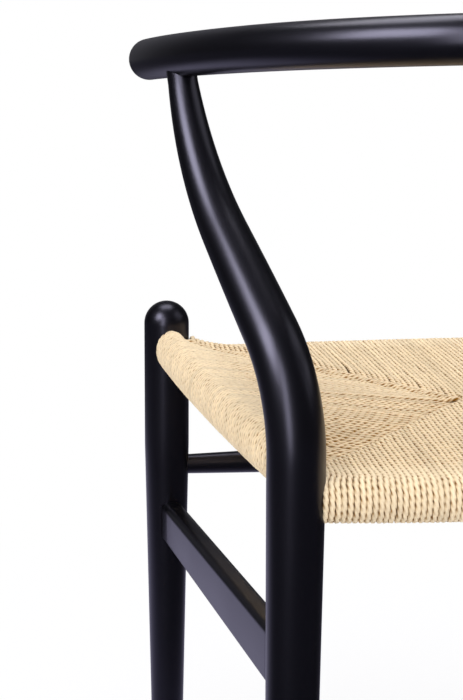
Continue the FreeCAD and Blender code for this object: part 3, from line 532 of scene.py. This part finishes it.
def spindle_rings(half_length, half_span, end, middle, y, z):
    """A turned bar along X, whose radius follows a shallow arc between the legs."""
    swell = middle - end
    bend = (half_span ** 2 + swell ** 2) / (2 * swell)
    x = np.concatenate([[-half_length], np.linspace(-half_span, half_span, 49), [half_length]])
    inner = np.clip(np.abs(x), 0, half_span)
    radius = np.sqrt(bend ** 2 - inner ** 2) - bend + middle
    rings = lathe_rings(np.stack([radius, x], axis=1), sides=40)
    return np.stack([rings[:, :, 2], y + rings[:, :, 0], z + rings[:, :, 1]], axis=-1)


class CHAIR_OT_spindles(bpy.types.Operator):
    """Turn the front and back stretchers, fuller in the middle"""

    bl_idname = "chair.spindles"
    bl_label = "Front and back stretchers"

    def execute(self, context):
        sizes = context.scene.chair_wood
        for node, leg in (("front_stretcher", sizes.front_leg_diameter),
                          ("back_stretcher", sizes.back_leg_diameter)):
            low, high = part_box(node)
            middle = (low + high) / 2
            half_length = high.x
            half_span = half_length - leg / 2 - SPINDLE_END_RUN
            rings = spindle_rings(half_length, half_span, sizes.spindle_end / 2,
                                  sizes.spindle_middle / 2, middle.y, middle.z)
            wooden(node, rings)
        return {"FINISHED"}


def rounded_section(half_width, low, high, radius, steps=7):
    """A rectangle with round corners, anticlockwise, as arrays of width and height."""
    quarter = np.linspace(0, math.pi / 2, steps)
    corners = ((half_width, high, 0), (-half_width, high, 1), (-half_width, low, 2),
               (half_width, low, 3))
    width, height = [], []
    for x, z, turn in corners:
        angle = quarter + turn * math.pi / 2
        width.append(x - math.copysign(radius, x) + radius * np.cos(angle))
        height.append(z - (radius if z == high else -radius) + radius * np.sin(angle))
    return np.concatenate(width), np.concatenate(height)


# A side stretcher's underside over the floor, its ends' distance from the legs' axes, and its
# depth at the front and at the back
BLADE_UNDERSIDE = 0.257
BLADE_START = 0.0066
BLADE_DEPTHS = (0.0365, 0.0465)


class CHAIR_OT_side_stretchers(bpy.types.Operator):
    """Plane the two side stretchers, flat blades with round edges, deeper at the back"""

    bl_idname = "chair.side_stretchers"
    bl_label = "Side stretchers"

    def execute(self, context):
        sizes = context.scene.chair_wood
        front = np.array(FRONT_LEG_AXIS)
        back = np.array(BACK_LEG_AXIS)
        run = np.linalg.norm(back - front)
        along = (back - front) / run
        outward = np.array([along[1], -along[0]])
        low = BLADE_UNDERSIDE
        rows = []
        for distance in np.linspace(BLADE_START, run - BLADE_START, 12):
            share = (distance - BLADE_START) / (run - 2 * BLADE_START)
            top = low + BLADE_DEPTHS[0] + (BLADE_DEPTHS[1] - BLADE_DEPTHS[0]) * share
            width, height = rounded_section(sizes.blade_thickness / 2, low, top, sizes.blade_edge)
            spot = front + along * distance
            rows.append(np.column_stack([spot[0] + outward[0] * width, spot[1] + outward[1] * width,
                                         height]))
        rings = np.array(rows)
        wooden_pair("side_stretcher", rings)
        return {"FINISHED"}


class CHAIR_OT_hidden_pieces(bpy.types.Operator):
    """Finish the pieces that stay as the CAD made them: the back splat, the seat rails and the
    tacks that hold the cord"""

    bl_idname = "chair.hidden_pieces"
    bl_label = "Splat, seat rails and tacks"

    def execute(self, context):
        for node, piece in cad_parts.items():
            maker = satin_black_lacquer
            if node == "cord_tacks":
                maker = tack_steel
            elif "seat_rail" in node:
                maker = unfinished_beech
            piece.data.materials.clear()
            piece.data.materials.append(material_of(maker))
        return {"FINISHED"}


# The seat's wound cord. Where the diagonals start, at the left corners (across, back), and
# where they end: how far across, and how far back in front and behind
SEAT_FRONT_CORNER = (0.2066, -0.2119)
SEAT_BACK_CORNER = (0.1591, 0.1291)
SEAT_MIDDLE = (0.01238, -0.0197, -0.0156)
# The turns' heights on the diagonals: the upper layer at the corner and at the middle, then
# the lower layer. The upper dips by depth * s * (1 - s) ** power, s being the share of the way
FRONT_HEIGHTS = (0.4475, 0.4355, 0.4105, 0.408)
BACK_HEIGHTS = (0.430, 0.435, 0.4, 0.408)
FRONT_DIPS = ((0.003, 1), (0.09, 10))
BACK_DIPS = ((0.028, 3),)
MIDDLE_HEIGHTS = (0.435, 0.408)
# The oval that a turn's middle follows round a rail
WRAP_HALF_WIDTH = 0.012
WRAP_HALF_HEIGHT = 0.017
BACK_WRAP_HALF_HEIGHT = 0.015
# The rails' axes: heights (a side rail's at both legs), how far each bows outward, where the
# bow of the front and back rails starts, and how steeply a side rail's falls to its ends
FRONT_RAIL_Z = 0.4195
BACK_RAIL_Z = 0.4125
SIDE_RAIL_Z = (0.439, 0.432)
RAIL_BOW = 0.004
BACK_RAIL_BOW = 0.013
FRONT_BOW_START = 0.2087
BACK_BOW_START = 0.1611
SIDE_BOW_FALL = 1.25
# How a turn ends on a diagonal: the radius of its bend down into the seat and how far it goes
# on below. Then its end's distance from the diagonal, its rise and the rise's length, for a
# turn that lies over the others and for one under them; the rise takes this share at most
# of the way to the rail
TURN_BEND = 3.6 * MM
TURN_DROP = 3.0 * MM
OVER_END = (-1.2 * MM, 1.6 * MM, 14 * MM)
UNDER_END = (3.4 * MM, -2.4 * MM, 22 * MM)
LONGEST_RAMP = 0.45
# The cord's stray, and the flecks of its painted crevice shade, in radians per metre
STRAY_WAVES = (40, 95, 170)
SHADE_FLECK_WAVES = (330, 470)
# Inside its rail's axis, where a wrap starts to give way to the open seat, and over how much
WRAP_END = 0.01
WRAP_FADE = 0.02
# How full packed cord is: its sides' share of the plies' grooves, the power of its square section,
# and the wraps' extra width. How strong the painted shade is where two turns meet: in the grooves,
# on the crowns and in flecks; and how much lighter the grooves' painted shade is in the wraps
PACKED_FILL = 0.4
PACKED_POWER = 4
WRAP_FULLNESS = 0.06
GROOVE_CREVICE_SHADE = 1.7
CROWN_CREVICE_SHADE = 0.3
SHADE_FLECKS = 0.3
WRAP_LIGHTER_GROOVE_SHADE = 0.6
# Chance: its seed, the spread of the cord's radius and of a turn's tone, and the share of the
# looseness by which a turn strays
SEED = 11
RADIUS_SPREAD = 0.012
TONE_SPREAD = 0.5
STRAY_SHARE = 0.5
# So many turns near a corner are squeezed towards the leg, from this share of the wrap's half
# width inside the axis; raised turns reach full height after one in so many of the courses
CORNER_SQUEEZE = 4 * MM
SQUEEZED_TURNS = 28
SQUEEZE_START = 0.4
LIFT_GROWTH = 4
# How much of the painted crevice shade the wraps show
END_WRAP_SHADE = 0.8
SIDE_WRAP_SHADE = 0.7
CORD_SIDES = 12


def side_rail_x(y):
    """The left side rail's axis at y: a straight line between the legs' axes, bowed outward."""
    share = (y - FRONT_LEG_AXIS[1]) / (BACK_LEG_AXIS[1] - FRONT_LEG_AXIS[1])
    straight = FRONT_LEG_AXIS[0] + (BACK_LEG_AXIS[0] - FRONT_LEG_AXIS[0]) * share
    return straight + RAIL_BOW * np.clip(1 - (2 * share - 1) ** 2 * SIDE_BOW_FALL, 0, 1)


def side_rail_z(y):
    share = (y - FRONT_LEG_AXIS[1]) / (BACK_LEG_AXIS[1] - FRONT_LEG_AXIS[1])
    return SIDE_RAIL_Z[0] + (SIDE_RAIL_Z[1] - SIDE_RAIL_Z[0]) * share


def end_rail_y(x, front):
    """The front or back rail's axis at x, bowed away from the seat."""
    if front:
        return FRONT_LEG_AXIS[1] - RAIL_BOW * max(0.0, 1 - (x / FRONT_BOW_START) ** 2)
    return BACK_LEG_AXIS[1] + BACK_RAIL_BOW * max(0.0, 1 - (x / BACK_BOW_START) ** 2)


def turn_path(reach, rail_z, half_height, top, low, over, lift):
    """One turn of cord in its own upright plane, as (distance in from the rail's axis, height):
    up out of the seat at the diagonal, straight to the rail, round the rail's oval, and back
    below it into the seat. The straight runs touch the oval where its slope equals theirs, at
    the angle whose tangent is the slope times half width over half height. Near its ends the
    cord rises over the turns it crosses, or dips under them by half a cosine wave, and then
    turns down through a quarter circle. It rises by lift, a share of the full height."""
    bend = TURN_BEND
    lead, rise, length = OVER_END if over else UNDER_END
    if over:
        rise *= lift
    inner = reach - lead
    ramp = min(length, LONGEST_RAMP * inner)
    quarter = np.linspace(0, math.pi / 2, 7)
    wave = np.linspace(0, math.pi, 9)[:-1]
    tips = []
    angles = []
    for height, side in ((top, 1), (low, -1)):
        level = height + (rise if side == 1 else 0)
        end_x = inner + bend * (np.cos(quarter) - 1)
        end_z = level - side * bend + side * bend * np.sin(quarter)
        ramp_x = inner - bend - ramp * (1 - wave / math.pi)
        ramp_z = height + (level - height) * (1 - np.cos(wave)) / 2
        tips.append((np.concatenate([[inner], end_x, ramp_x[::-1]]),
                     np.concatenate([[level - side * (bend + TURN_DROP)], end_z, ramp_z[::-1]])))
        touch = 0.0
        for _ in range(4):
            touch_x = -WRAP_HALF_WIDTH * math.sin(touch)
            touch_z = rail_z + side * half_height * math.cos(touch)
            slope = side * (height - touch_z) / (ramp_x[0] - touch_x)
            touch = math.atan(slope * WRAP_HALF_WIDTH / half_height)
        angles.append(touch)
    turn = np.linspace(angles[0], math.pi - angles[1], 40)
    round_x = -WRAP_HALF_WIDTH * np.sin(turn)
    round_z = rail_z + half_height * np.cos(turn)
    x = np.concatenate([tips[0][0], round_x, tips[1][0][::-1]])
    z = np.concatenate([tips[0][1], round_z, tips[1][1][::-1]])
    return x, z


def even_spacing(x, z, spacing):
    """The same line sampled at even steps of its own length, and each sample's length."""
    travelled = np.concatenate([[0], np.cumsum(np.hypot(np.diff(x), np.diff(z)))])
    count = max(8, int(round(travelled[-1] / spacing)) + 1)
    along = np.linspace(0, travelled[-1], count)
    return np.interp(along, travelled, x), np.interp(along, travelled, z), along


def ply_outline(sides):
    """The cord's section, three round plies pressed together, as shares of its radius: each ply
    is a circle of 0.57 about a centre 0.43 out, so the groove between two lies at 0.65."""
    angle = np.linspace(0, FULL_TURN, sides, endpoint=False)
    from_crown = (angle + math.pi / 3) % (FULL_TURN / 3) - math.pi / 3
    share = 0.43 * np.cos(from_crown) + np.sqrt(0.57 ** 2 - (0.43 * np.sin(from_crown)) ** 2)
    return angle, share


def cord_turn(x, z, along, place, inward, sideways, radius, lay, squeeze, part, wrap_shade, chance):
    """Rings of one turn: the path put into the chair by its start and inward direction, with a
    left-handed twist of one turn per lay and a slight stray to the side. Packed turns are squarish:
    the radius grows by the superellipse (|cos|^p + |sin|^p)^(-1/p). Outside the rail the turn lies
    squeeze further to the side, towards the leg, and inside the seat part further. Also gives how
    far each point is out of the plies' grooves, which sets their painted shade, and how strongly
    each point is painted with the shade of the crevice where it meets the next turn, by powers of
    its sideways share that differ between grooves and crowns. Round the rail only the wraps' share
    of this painted crevice shade is kept, and the grooves are shallower and their painted shade
    lighter."""
    angle, share = ply_outline(CORD_SIDES)
    stray = chance.normal(0, 1, 3)
    stray_phase = chance.uniform(0, FULL_TURN, 3)
    waves = sum(s * np.sin(along * wave + phase)
                for s, wave, phase in zip(stray, STRAY_WAVES, stray_phase))
    sizes = bpy.context.scene.chair_seat
    outside = np.clip(-x / WRAP_HALF_WIDTH + SQUEEZE_START, 0, 1)
    inside = np.clip(x / x.max(), 0, 1)
    side = (waves * sizes.looseness * STRAY_SHARE + squeeze * outside ** 2 * (3 - 2 * outside)
            + part * inside ** 2 * (3 - 2 * inside))
    centre = (place + x[:, None] * inward + side[:, None] * sideways)
    centre[:, 2] = z
    direction = np.gradient(np.stack([x, z], axis=1), axis=0)
    direction /= np.linalg.norm(direction, axis=1, keepdims=True)
    ahead = direction[:, :1] * inward + direction[:, 1:] * np.array([0, 0, 1.0])
    lift = np.cross(ahead, sideways)
    twist = -FULL_TURN * along / lay + chance.uniform(0, FULL_TURN)
    turned = angle[None, :] + twist[:, None]
    spoke = (np.cos(turned)[:, :, None] * sideways + np.sin(turned)[:, :, None] * lift[:, None, :])
    across, upright = np.abs(np.cos(turned)), np.abs(np.sin(turned))
    held = np.clip((x - WRAP_END) / WRAP_FADE, 0, 1)[:, None]
    pressed = share + (1 - share) * PACKED_FILL * (across ** 2 + (1 - held) * upright ** 2)
    square = (across ** PACKED_POWER + upright ** PACKED_POWER) ** (-1 / PACKED_POWER)
    pressed *= (1 + WRAP_FULLNESS * (1 - held)) * square
    rings = centre[:, None, :] + spoke * (pressed * radius)[:, :, None]
    depth = np.tile((share - share.min()) / (share.max() - share.min()), (len(x), 1))
    # Painted shade: the crevices where a turn meets its neighbours are darkened, most in the
    # grooves, less on the crowns
    contact = GROOVE_CREVICE_SHADE * (1 - depth) ** 0.8 * across ** 2.5
    contact += CROWN_CREVICE_SHADE * depth * across ** 6
    # These flecks break the painted crevice shade into dashes along the cord
    flecks = sum(np.sin(along * wave + phase) for wave, phase in zip(SHADE_FLECK_WAVES, stray_phase))
    contact *= (wrap_shade + (1 - wrap_shade) * held) * (1 + SHADE_FLECKS * flecks)[:, None]
    # In the wraps the depth is raised, which lightens the painted groove shade there
    return rings, depth + (1 - depth) * WRAP_LIGHTER_GROOVE_SHADE * (1 - held), contact


class CordWinding:
    """Collects turns of cord into one mesh."""

    def __init__(self):
        self.points, self.quads, self.fans = [], [], []
        self.ply, self.contact, self.tone, self.along, self.around = [], [], [], [], []
        self.count = 0
        self.length = 0.0

    def add(self, rings, along, depth, contact, tone, radius):
        rows, sides = rings.shape[:2]
        quads, fans = tube_faces(rows, sides, self.count)
        poles = np.stack([rings[0].mean(axis=0), rings[-1].mean(axis=0)])
        self.points += [rings.reshape(-1, 3), poles]
        self.quads.append(quads)
        self.fans.append(fans)
        self.ply += [depth.ravel(), np.zeros(2)]
        self.contact += [contact.ravel(), np.zeros(2)]
        self.tone.append(np.full(rows * sides + 2, tone))
        self.along += [np.repeat(along, sides), along[[0, -1]]]
        around = np.linspace(0, FULL_TURN * radius, sides, endpoint=False)
        self.around += [np.tile(around, rows), np.zeros(2)]
        self.count += rows * sides + 2
        self.length += along[-1]

    def make(self, name):
        """The mesh, with the plies' height, which sets the painted groove shade, the painted shade
        where turns meet, the turn's own tone and a map along the cord.
        """
        points = np.concatenate(self.points)
        piece = mesh_piece(name, points, np.concatenate(self.quads), np.concatenate(self.fans),
                           material_of(paper_cord), "paper_cord", "woven_seat")
        mesh = piece.data
        for label, values in (("ply_height", self.ply), ("turn_contact", self.contact),
                              ("turn_tone", self.tone)):
            attribute = mesh.attributes.new(label, "FLOAT", "POINT")
            attribute.data.foreach_set("value", np.concatenate(values).astype(np.float32))
        corner = np.empty(len(mesh.loops), dtype=np.int32)
        mesh.loops.foreach_get("vertex_index", corner)
        flat = np.stack([np.concatenate(self.along), np.concatenate(self.around)], axis=1)
        layer = mesh.uv_layers.new(name="along_cord")
        layer.data.foreach_set("uv", flat[corner].astype(np.float32).ravel())
        return piece


# Where neighbouring turns stand apart in the seat: (between which turns, by how much)
WIDE_GAPS = {
    ("front", "left"): ((29.5, 2.0 * MM), (36.5, 0.7 * MM), (41.5, 1.0 * MM), (45.5, 1.0 * MM)),
    ("left", "back"): ((2.5, 1.4 * MM), (4.5, 1.2 * MM), (7.5, 1.4 * MM), (11.5, 1.0 * MM),
                       (16.5, 0.8 * MM), (30.5, 1.4 * MM), (32.5, 1.6 * MM)),
    ("front", "right"): ((22.5, 1.6 * MM), (37.5, 1.4 * MM)),
    ("right", "front"): ((35.5, 1.4 * MM),),
}


def parted(gaps, courses):
    """How far each turn moves towards the corner (negative) or the middle: half of each gap,
    halved again about every second turn away from it."""
    turn = np.arange(courses)
    moved = np.zeros(courses)
    for place, width in gaps:
        moved += width / 2 * np.sign(turn - place) * np.exp(-np.abs(turn - place) / 3)
    return moved


def diagonal_points(front, courses):
    """Where the turns of a corner meet: even steps from the corner to the seat's middle."""
    corner = SEAT_FRONT_CORNER if front else SEAT_BACK_CORNER
    middle_y = SEAT_MIDDLE[1] if front else SEAT_MIDDLE[2]
    share = np.linspace(0, 1, courses)
    x = corner[0] + (SEAT_MIDDLE[0] - corner[0]) * share
    y = corner[1] + (middle_y - corner[1]) * share
    heights = FRONT_HEIGHTS if front else BACK_HEIGHTS
    top = heights[0] + (heights[1] - heights[0]) * share
    for depth, power in FRONT_DIPS if front else BACK_DIPS:
        top -= depth * share * (1 - share) ** power
    low = heights[2] + (heights[3] - heights[2]) * share
    return x, y, top, low


class CHAIR_OT_woven_seat(bpy.types.Operator):
    """Wind the seat's paper cord: turns round each rail that meet on four diagonals"""

    bl_idname = "chair.woven_seat"
    bl_label = "Woven seat"

    def execute(self, context):
        sizes = context.scene.chair_seat
        chance = np.random.default_rng(SEED)
        windings = {}
        total = 0.0

        def wind(group, reach, rail_z, half_height, top, low, over, place, inward, sideways,
                 squeeze=0.0, part=0.0, wrap_shade=END_WRAP_SHADE, lift=1.0):
            """Add one turn of cord to its group."""
            radius = sizes.cord_diameter / 2 * (1 + chance.normal(0, RADIUS_SPREAD))
            shift = chance.normal(0, sizes.looseness / 2)
            x, z = turn_path(reach, rail_z, half_height, top + shift, low - shift, over, lift)
            x, z, along = even_spacing(x, z, sizes.ring_spacing)
            place, inward, sideways = (np.array(v, dtype=float) for v in (place, inward, sideways))
            rings, depth, contact = cord_turn(x, z, along, place, inward, sideways, radius,
                                              sizes.cord_lay, squeeze, part, wrap_shade, chance)
            tone = chance.normal(0, TONE_SPREAD)
            windings.setdefault(group, CordWinding()).add(rings, along, depth, contact, tone,
                                                          radius)

        ends = (("front", True, FRONT_RAIL_Z, WRAP_HALF_HEIGHT, (0, 1, 0)),
                ("back", False, BACK_RAIL_Z, BACK_WRAP_HALF_HEIGHT, (0, -1, 0)))
        for side, side_name in ((1, "left"), (-1, "right")):
            for end_name, front, rail_z, half_height, end_inward in ends:
                courses = sizes.front_corner_courses if front else sizes.back_corner_courses
                side_over = front == (side == 1)
                turn = np.arange(courses)
                squeezes = CORNER_SQUEEZE * np.clip(1 - turn / SQUEEZED_TURNS, 0, 1) ** 2
                end_parts = parted(WIDE_GAPS.get((end_name, side_name), ()), courses)
                side_parts = parted(WIDE_GAPS.get((side_name, end_name), ()), courses)
                lifts = np.ones(courses)
                if front:
                    lifts = np.clip(turn / courses * LIFT_GROWTH, 0, 1)
                for x, y, top, low, squeeze, end_part, side_part, lift in zip(
                        *diagonal_points(front, courses), squeezes, end_parts, side_parts, lifts):
                    rail_y = end_rail_y(x, front)
                    wind(f"seat_cord_{end_name}_{side_name}", abs(y - rail_y), rail_z, half_height,
                         top, low, not side_over, (x * side, rail_y, 0), end_inward, (1, 0, 0),
                         squeeze * side, -end_part * side, END_WRAP_SHADE, lift)
                    rail_x = side_rail_x(y)
                    wind(f"seat_cord_{side_name}_{end_name}", rail_x - x, side_rail_z(y),
                         WRAP_HALF_HEIGHT, top, low, side_over, (rail_x * side, y, 0),
                         (-side, 0, 0), (0, 1, 0), -squeeze if front else squeeze,
                         side_part if front else -side_part, SIDE_WRAP_SHADE, lift)
        half_gap = SEAT_MIDDLE[0] * (1 - 2 / (sizes.middle_courses + 1))
        for end_name, front, rail_z, half_height, end_inward in ends:
            end_y = SEAT_MIDDLE[1] if front else SEAT_MIDDLE[2]
            for x in np.linspace(-half_gap, half_gap, sizes.middle_courses):
                rail_y = end_rail_y(x, front)
                wind(f"seat_cord_{end_name}_left", abs(end_y - rail_y), rail_z, half_height,
                     *MIDDLE_HEIGHTS, True, (x, rail_y, 0), end_inward, (1, 0, 0))
        for name, winding in windings.items():
            winding.make(name)
            total += winding.length
        print(f"cord in the seat: {total:.1f} m")
        return {"FINISHED"}


# The studio. The camera's place and turn were found from the photograph, and its focal length
# is in pixels of a picture of that height
CAMERA_PLACE = (0.4005, 1.2521, 0.7773)
CAMERA_YAW = math.radians(8.857)
CAMERA_DOWN = math.radians(12.871)
CAMERA_ROLL = math.radians(0.402)
FOCAL_PIXELS = 1659.7
PICTURE_HEIGHT = 700
SENSOR = 36.0
# What the soft boxes face, and where the painted reflection that the lacquer sees in the floor is
# palest
STUDIO_MIDDLE = (0.2, 0.1, 0.6)
PAINTED_REFLECTION_SPOT = (0.45, -0.8, 0)
FLOOR_REACH = 6.0
DOME_BRIGHTNESS = 0.97


def soft_light(name, bearing, distance, extent, brightness, diffuse=True, glossy=True):
    """A soft box that faces the chair: bearing is its turn from +Y towards +X and its height
    over the horizon, in degrees; a flat lamp's power is pi times its area and brightness. It
    lights matt surfaces if diffuse, and shows in the lacquer if glossy."""
    turn, lift = (math.radians(angle) for angle in bearing)
    away = Vector((math.sin(turn) * math.cos(lift), math.cos(turn) * math.cos(lift),
                   math.sin(lift)))
    lamp = bpy.data.lights.new(name, "AREA")
    lamp.shape = "RECTANGLE"
    lamp.size, lamp.size_y = extent
    lamp.energy = math.pi * extent[0] * extent[1] * brightness
    lamp.color = srgb("#FBFAFF")[:3]
    holder = bpy.data.objects.new(name, lamp)
    holder.location = Vector(STUDIO_MIDDLE) + away * distance
    holder.rotation_euler = away.to_track_quat("Z", "Y").to_euler()
    holder.visible_diffuse = diffuse
    holder.visible_glossy = glossy
    bpy.context.scene.collection.objects.link(holder)


def white_floor():
    """A matt white paper floor that stays white to the camera and keeps a faint shadow. To glossy
    rays it glows instead of being lit, a painted reflection: pale round one place, in front of the
    chair on its left, and dark elsewhere, so that the wood stays black."""
    material, tree, _ = new_material("white studio floor")
    rays = add_node(tree, "LightPath")
    place = object_place(tree)
    distance = add_node(tree, "VectorMath", {"operation": "LENGTH"}, _0=place)
    fade = ramp(tree, distance.outputs["Value"], (0.2, 1.1), (0.85, 1.0))
    share = calculate(tree, "MULTIPLY", rays.outputs["Is Camera Ray"], fade)
    matt = add_node(tree, "BsdfDiffuse", Color=srgb("#F4F4F4"))
    glow = add_node(tree, "Emission", Color=(1, 1, 1, 1), Strength=1.0)
    # Painted reflection: to glossy rays the floor glows, palest round one spot and dim elsewhere
    offset = add_node(tree, "VectorMath", {"operation": "DISTANCE"}, _0=place, _1=PAINTED_REFLECTION_SPOT)
    depth = ramp(tree, offset.outputs["Value"], (0.35, 1.0), (0.85, 0.08))
    painted_reflection = add_node(tree, "Emission", Color=srgb("#E0DCFF"), Strength=depth)
    seen = add_node(tree, "MixShader", _0=rays.outputs["Is Glossy Ray"],
                    _1=matt.outputs[0], _2=painted_reflection.outputs[0])
    mixed = add_node(tree, "MixShader", _0=share, _1=seen.outputs[0], _2=glow.outputs[0])
    finish_material(tree, mixed)
    return material


class CHAIR_OT_studio(bpy.types.Operator):
    """Set the floor, the lights, the white background and the camera"""

    bl_idname = "chair.studio"
    bl_label = "Studio"

    def execute(self, context):
        scene = context.scene
        mesh = bpy.data.meshes.new("studio_floor")
        corners = [(x * FLOOR_REACH, y * FLOOR_REACH, 0)
                   for x, y in ((-1, -1), (1, -1), (1, 1), (-1, 1))]
        mesh.from_pydata(corners, [], [(0, 1, 2, 3)])
        mesh.materials.append(white_floor())
        floor = bpy.data.objects.new("studio_floor", mesh)
        scene.collection.objects.link(floor)

        # Three boxes draw the highlights of the lacquer and leave the cord's even light alone. The
        # top one lights only the cord and the floor, and the side one lights everything
        soft_light("key softbox", (66, 37), 1.7, (0.9, 0.9), 13.5, diffuse=False)
        soft_light("tall softbox", (31, 14), 1.9, (0.5, 1.7), 7.5, diffuse=False)
        soft_light("overhead softbox", (178, 66), 1.6, (1.1, 0.8), 5.0, diffuse=False)
        soft_light("top softbox", (35, 60), 1.6, (1.3, 1.1), 4.0, glossy=False)
        soft_light("side softbox", (-82, 32), 1.8, (1.2, 1.2), 1.0)

        world = bpy.data.worlds.new("white studio")
        world.use_nodes = True
        tree = world.node_tree
        tree.nodes.clear()
        rays = add_node(tree, "LightPath")
        seen = calculate(tree, "MAXIMUM", rays.outputs["Is Camera Ray"],
                         rays.outputs["Is Transmission Ray"])
        place = add_node(tree, "TexCoord").outputs["Generated"]
        facing = add_node(tree, "SeparateXYZ", Vector=place)
        backdrop = ramp(tree, facing.outputs["Y"], (-0.98, -0.72), (0.2, 0.02))
        dome = calculate(tree, "MULTIPLY_ADD", rays.outputs["Is Diffuse Ray"],
                         DOME_BRIGHTNESS, backdrop)
        fill = add_node(tree, "Background", Color=srgb("#F4F3FF"), Strength=dome)
        white = add_node(tree, "Background", Color=(1, 1, 1, 1), Strength=1.0)
        both = add_node(tree, "MixShader", _0=seen, _1=fill.outputs[0], _2=white.outputs[0])
        add_node(tree, "OutputWorld", Surface=both.outputs[0])
        scene.world = world
        scene.view_settings.view_transform = "Standard"

        camera_data = bpy.data.cameras.new("camera")
        camera_data.sensor_width = SENSOR
        camera_data.lens = FOCAL_PIXELS / PICTURE_HEIGHT * SENSOR
        camera = bpy.data.objects.new("camera", camera_data)
        look = Vector((-math.sin(CAMERA_YAW) * math.cos(CAMERA_DOWN),
                       -math.cos(CAMERA_YAW) * math.cos(CAMERA_DOWN), -math.sin(CAMERA_DOWN)))
        right = Vector((-math.cos(CAMERA_YAW), math.sin(CAMERA_YAW), 0))
        up = right.cross(look)
        axes = Matrix((math.cos(CAMERA_ROLL) * right + math.sin(CAMERA_ROLL) * up,
                       math.cos(CAMERA_ROLL) * up - math.sin(CAMERA_ROLL) * right, -look))
        camera.location = CAMERA_PLACE
        camera.rotation_euler = axes.transposed().to_euler()
        scene.collection.objects.link(camera)
        scene.camera = camera
        return {"FINISHED"}


STEPS = (
    CHAIR_OT_front_legs,
    CHAIR_OT_back_legs,
    CHAIR_OT_top_rail,
    CHAIR_OT_spindles,
    CHAIR_OT_side_stretchers,
    CHAIR_OT_hidden_pieces,
    CHAIR_OT_woven_seat,
    CHAIR_OT_studio,
)


class CHAIR_PT_builder(bpy.types.Panel):
    """The chair's pieces, in the order they are built"""

    bl_idname = "CHAIR_PT_builder"
    bl_label = "Wishbone chair"
    bl_space_type = "VIEW_3D"
    bl_region_type = "UI"
    bl_category = "Chair"

    def draw(self, context):
        for step in STEPS:
            self.layout.operator(step.bl_idname)
        for group_name, kind in PROPERTY_GROUPS.items():
            box = self.layout.box()
            for name in kind.__annotations__:
                box.prop(getattr(context.scene, group_name), name)


PROPERTY_GROUPS = {
    "chair_wood": ChairWoodSizes,
    "chair_seat": ChairSeatSizes,
    "chair_colours": ChairColours,
}


def register():
    for name, group in PROPERTY_GROUPS.items():
        bpy.utils.register_class(group)
        setattr(bpy.types.Scene, name, PointerProperty(type=group))
    for step in STEPS:
        bpy.utils.register_class(step)
    bpy.utils.register_class(CHAIR_PT_builder)


def unregister():
    bpy.utils.unregister_class(CHAIR_PT_builder)
    for step in reversed(STEPS):
        bpy.utils.unregister_class(step)
    for name, group in PROPERTY_GROUPS.items():
        delattr(bpy.types.Scene, name)
        bpy.utils.unregister_class(group)


def main():
    register()
    for step in STEPS:
        group, name = step.bl_idname.split(".")
        getattr(getattr(bpy.ops, group), name)()


if __name__ == "__main__":
    main()
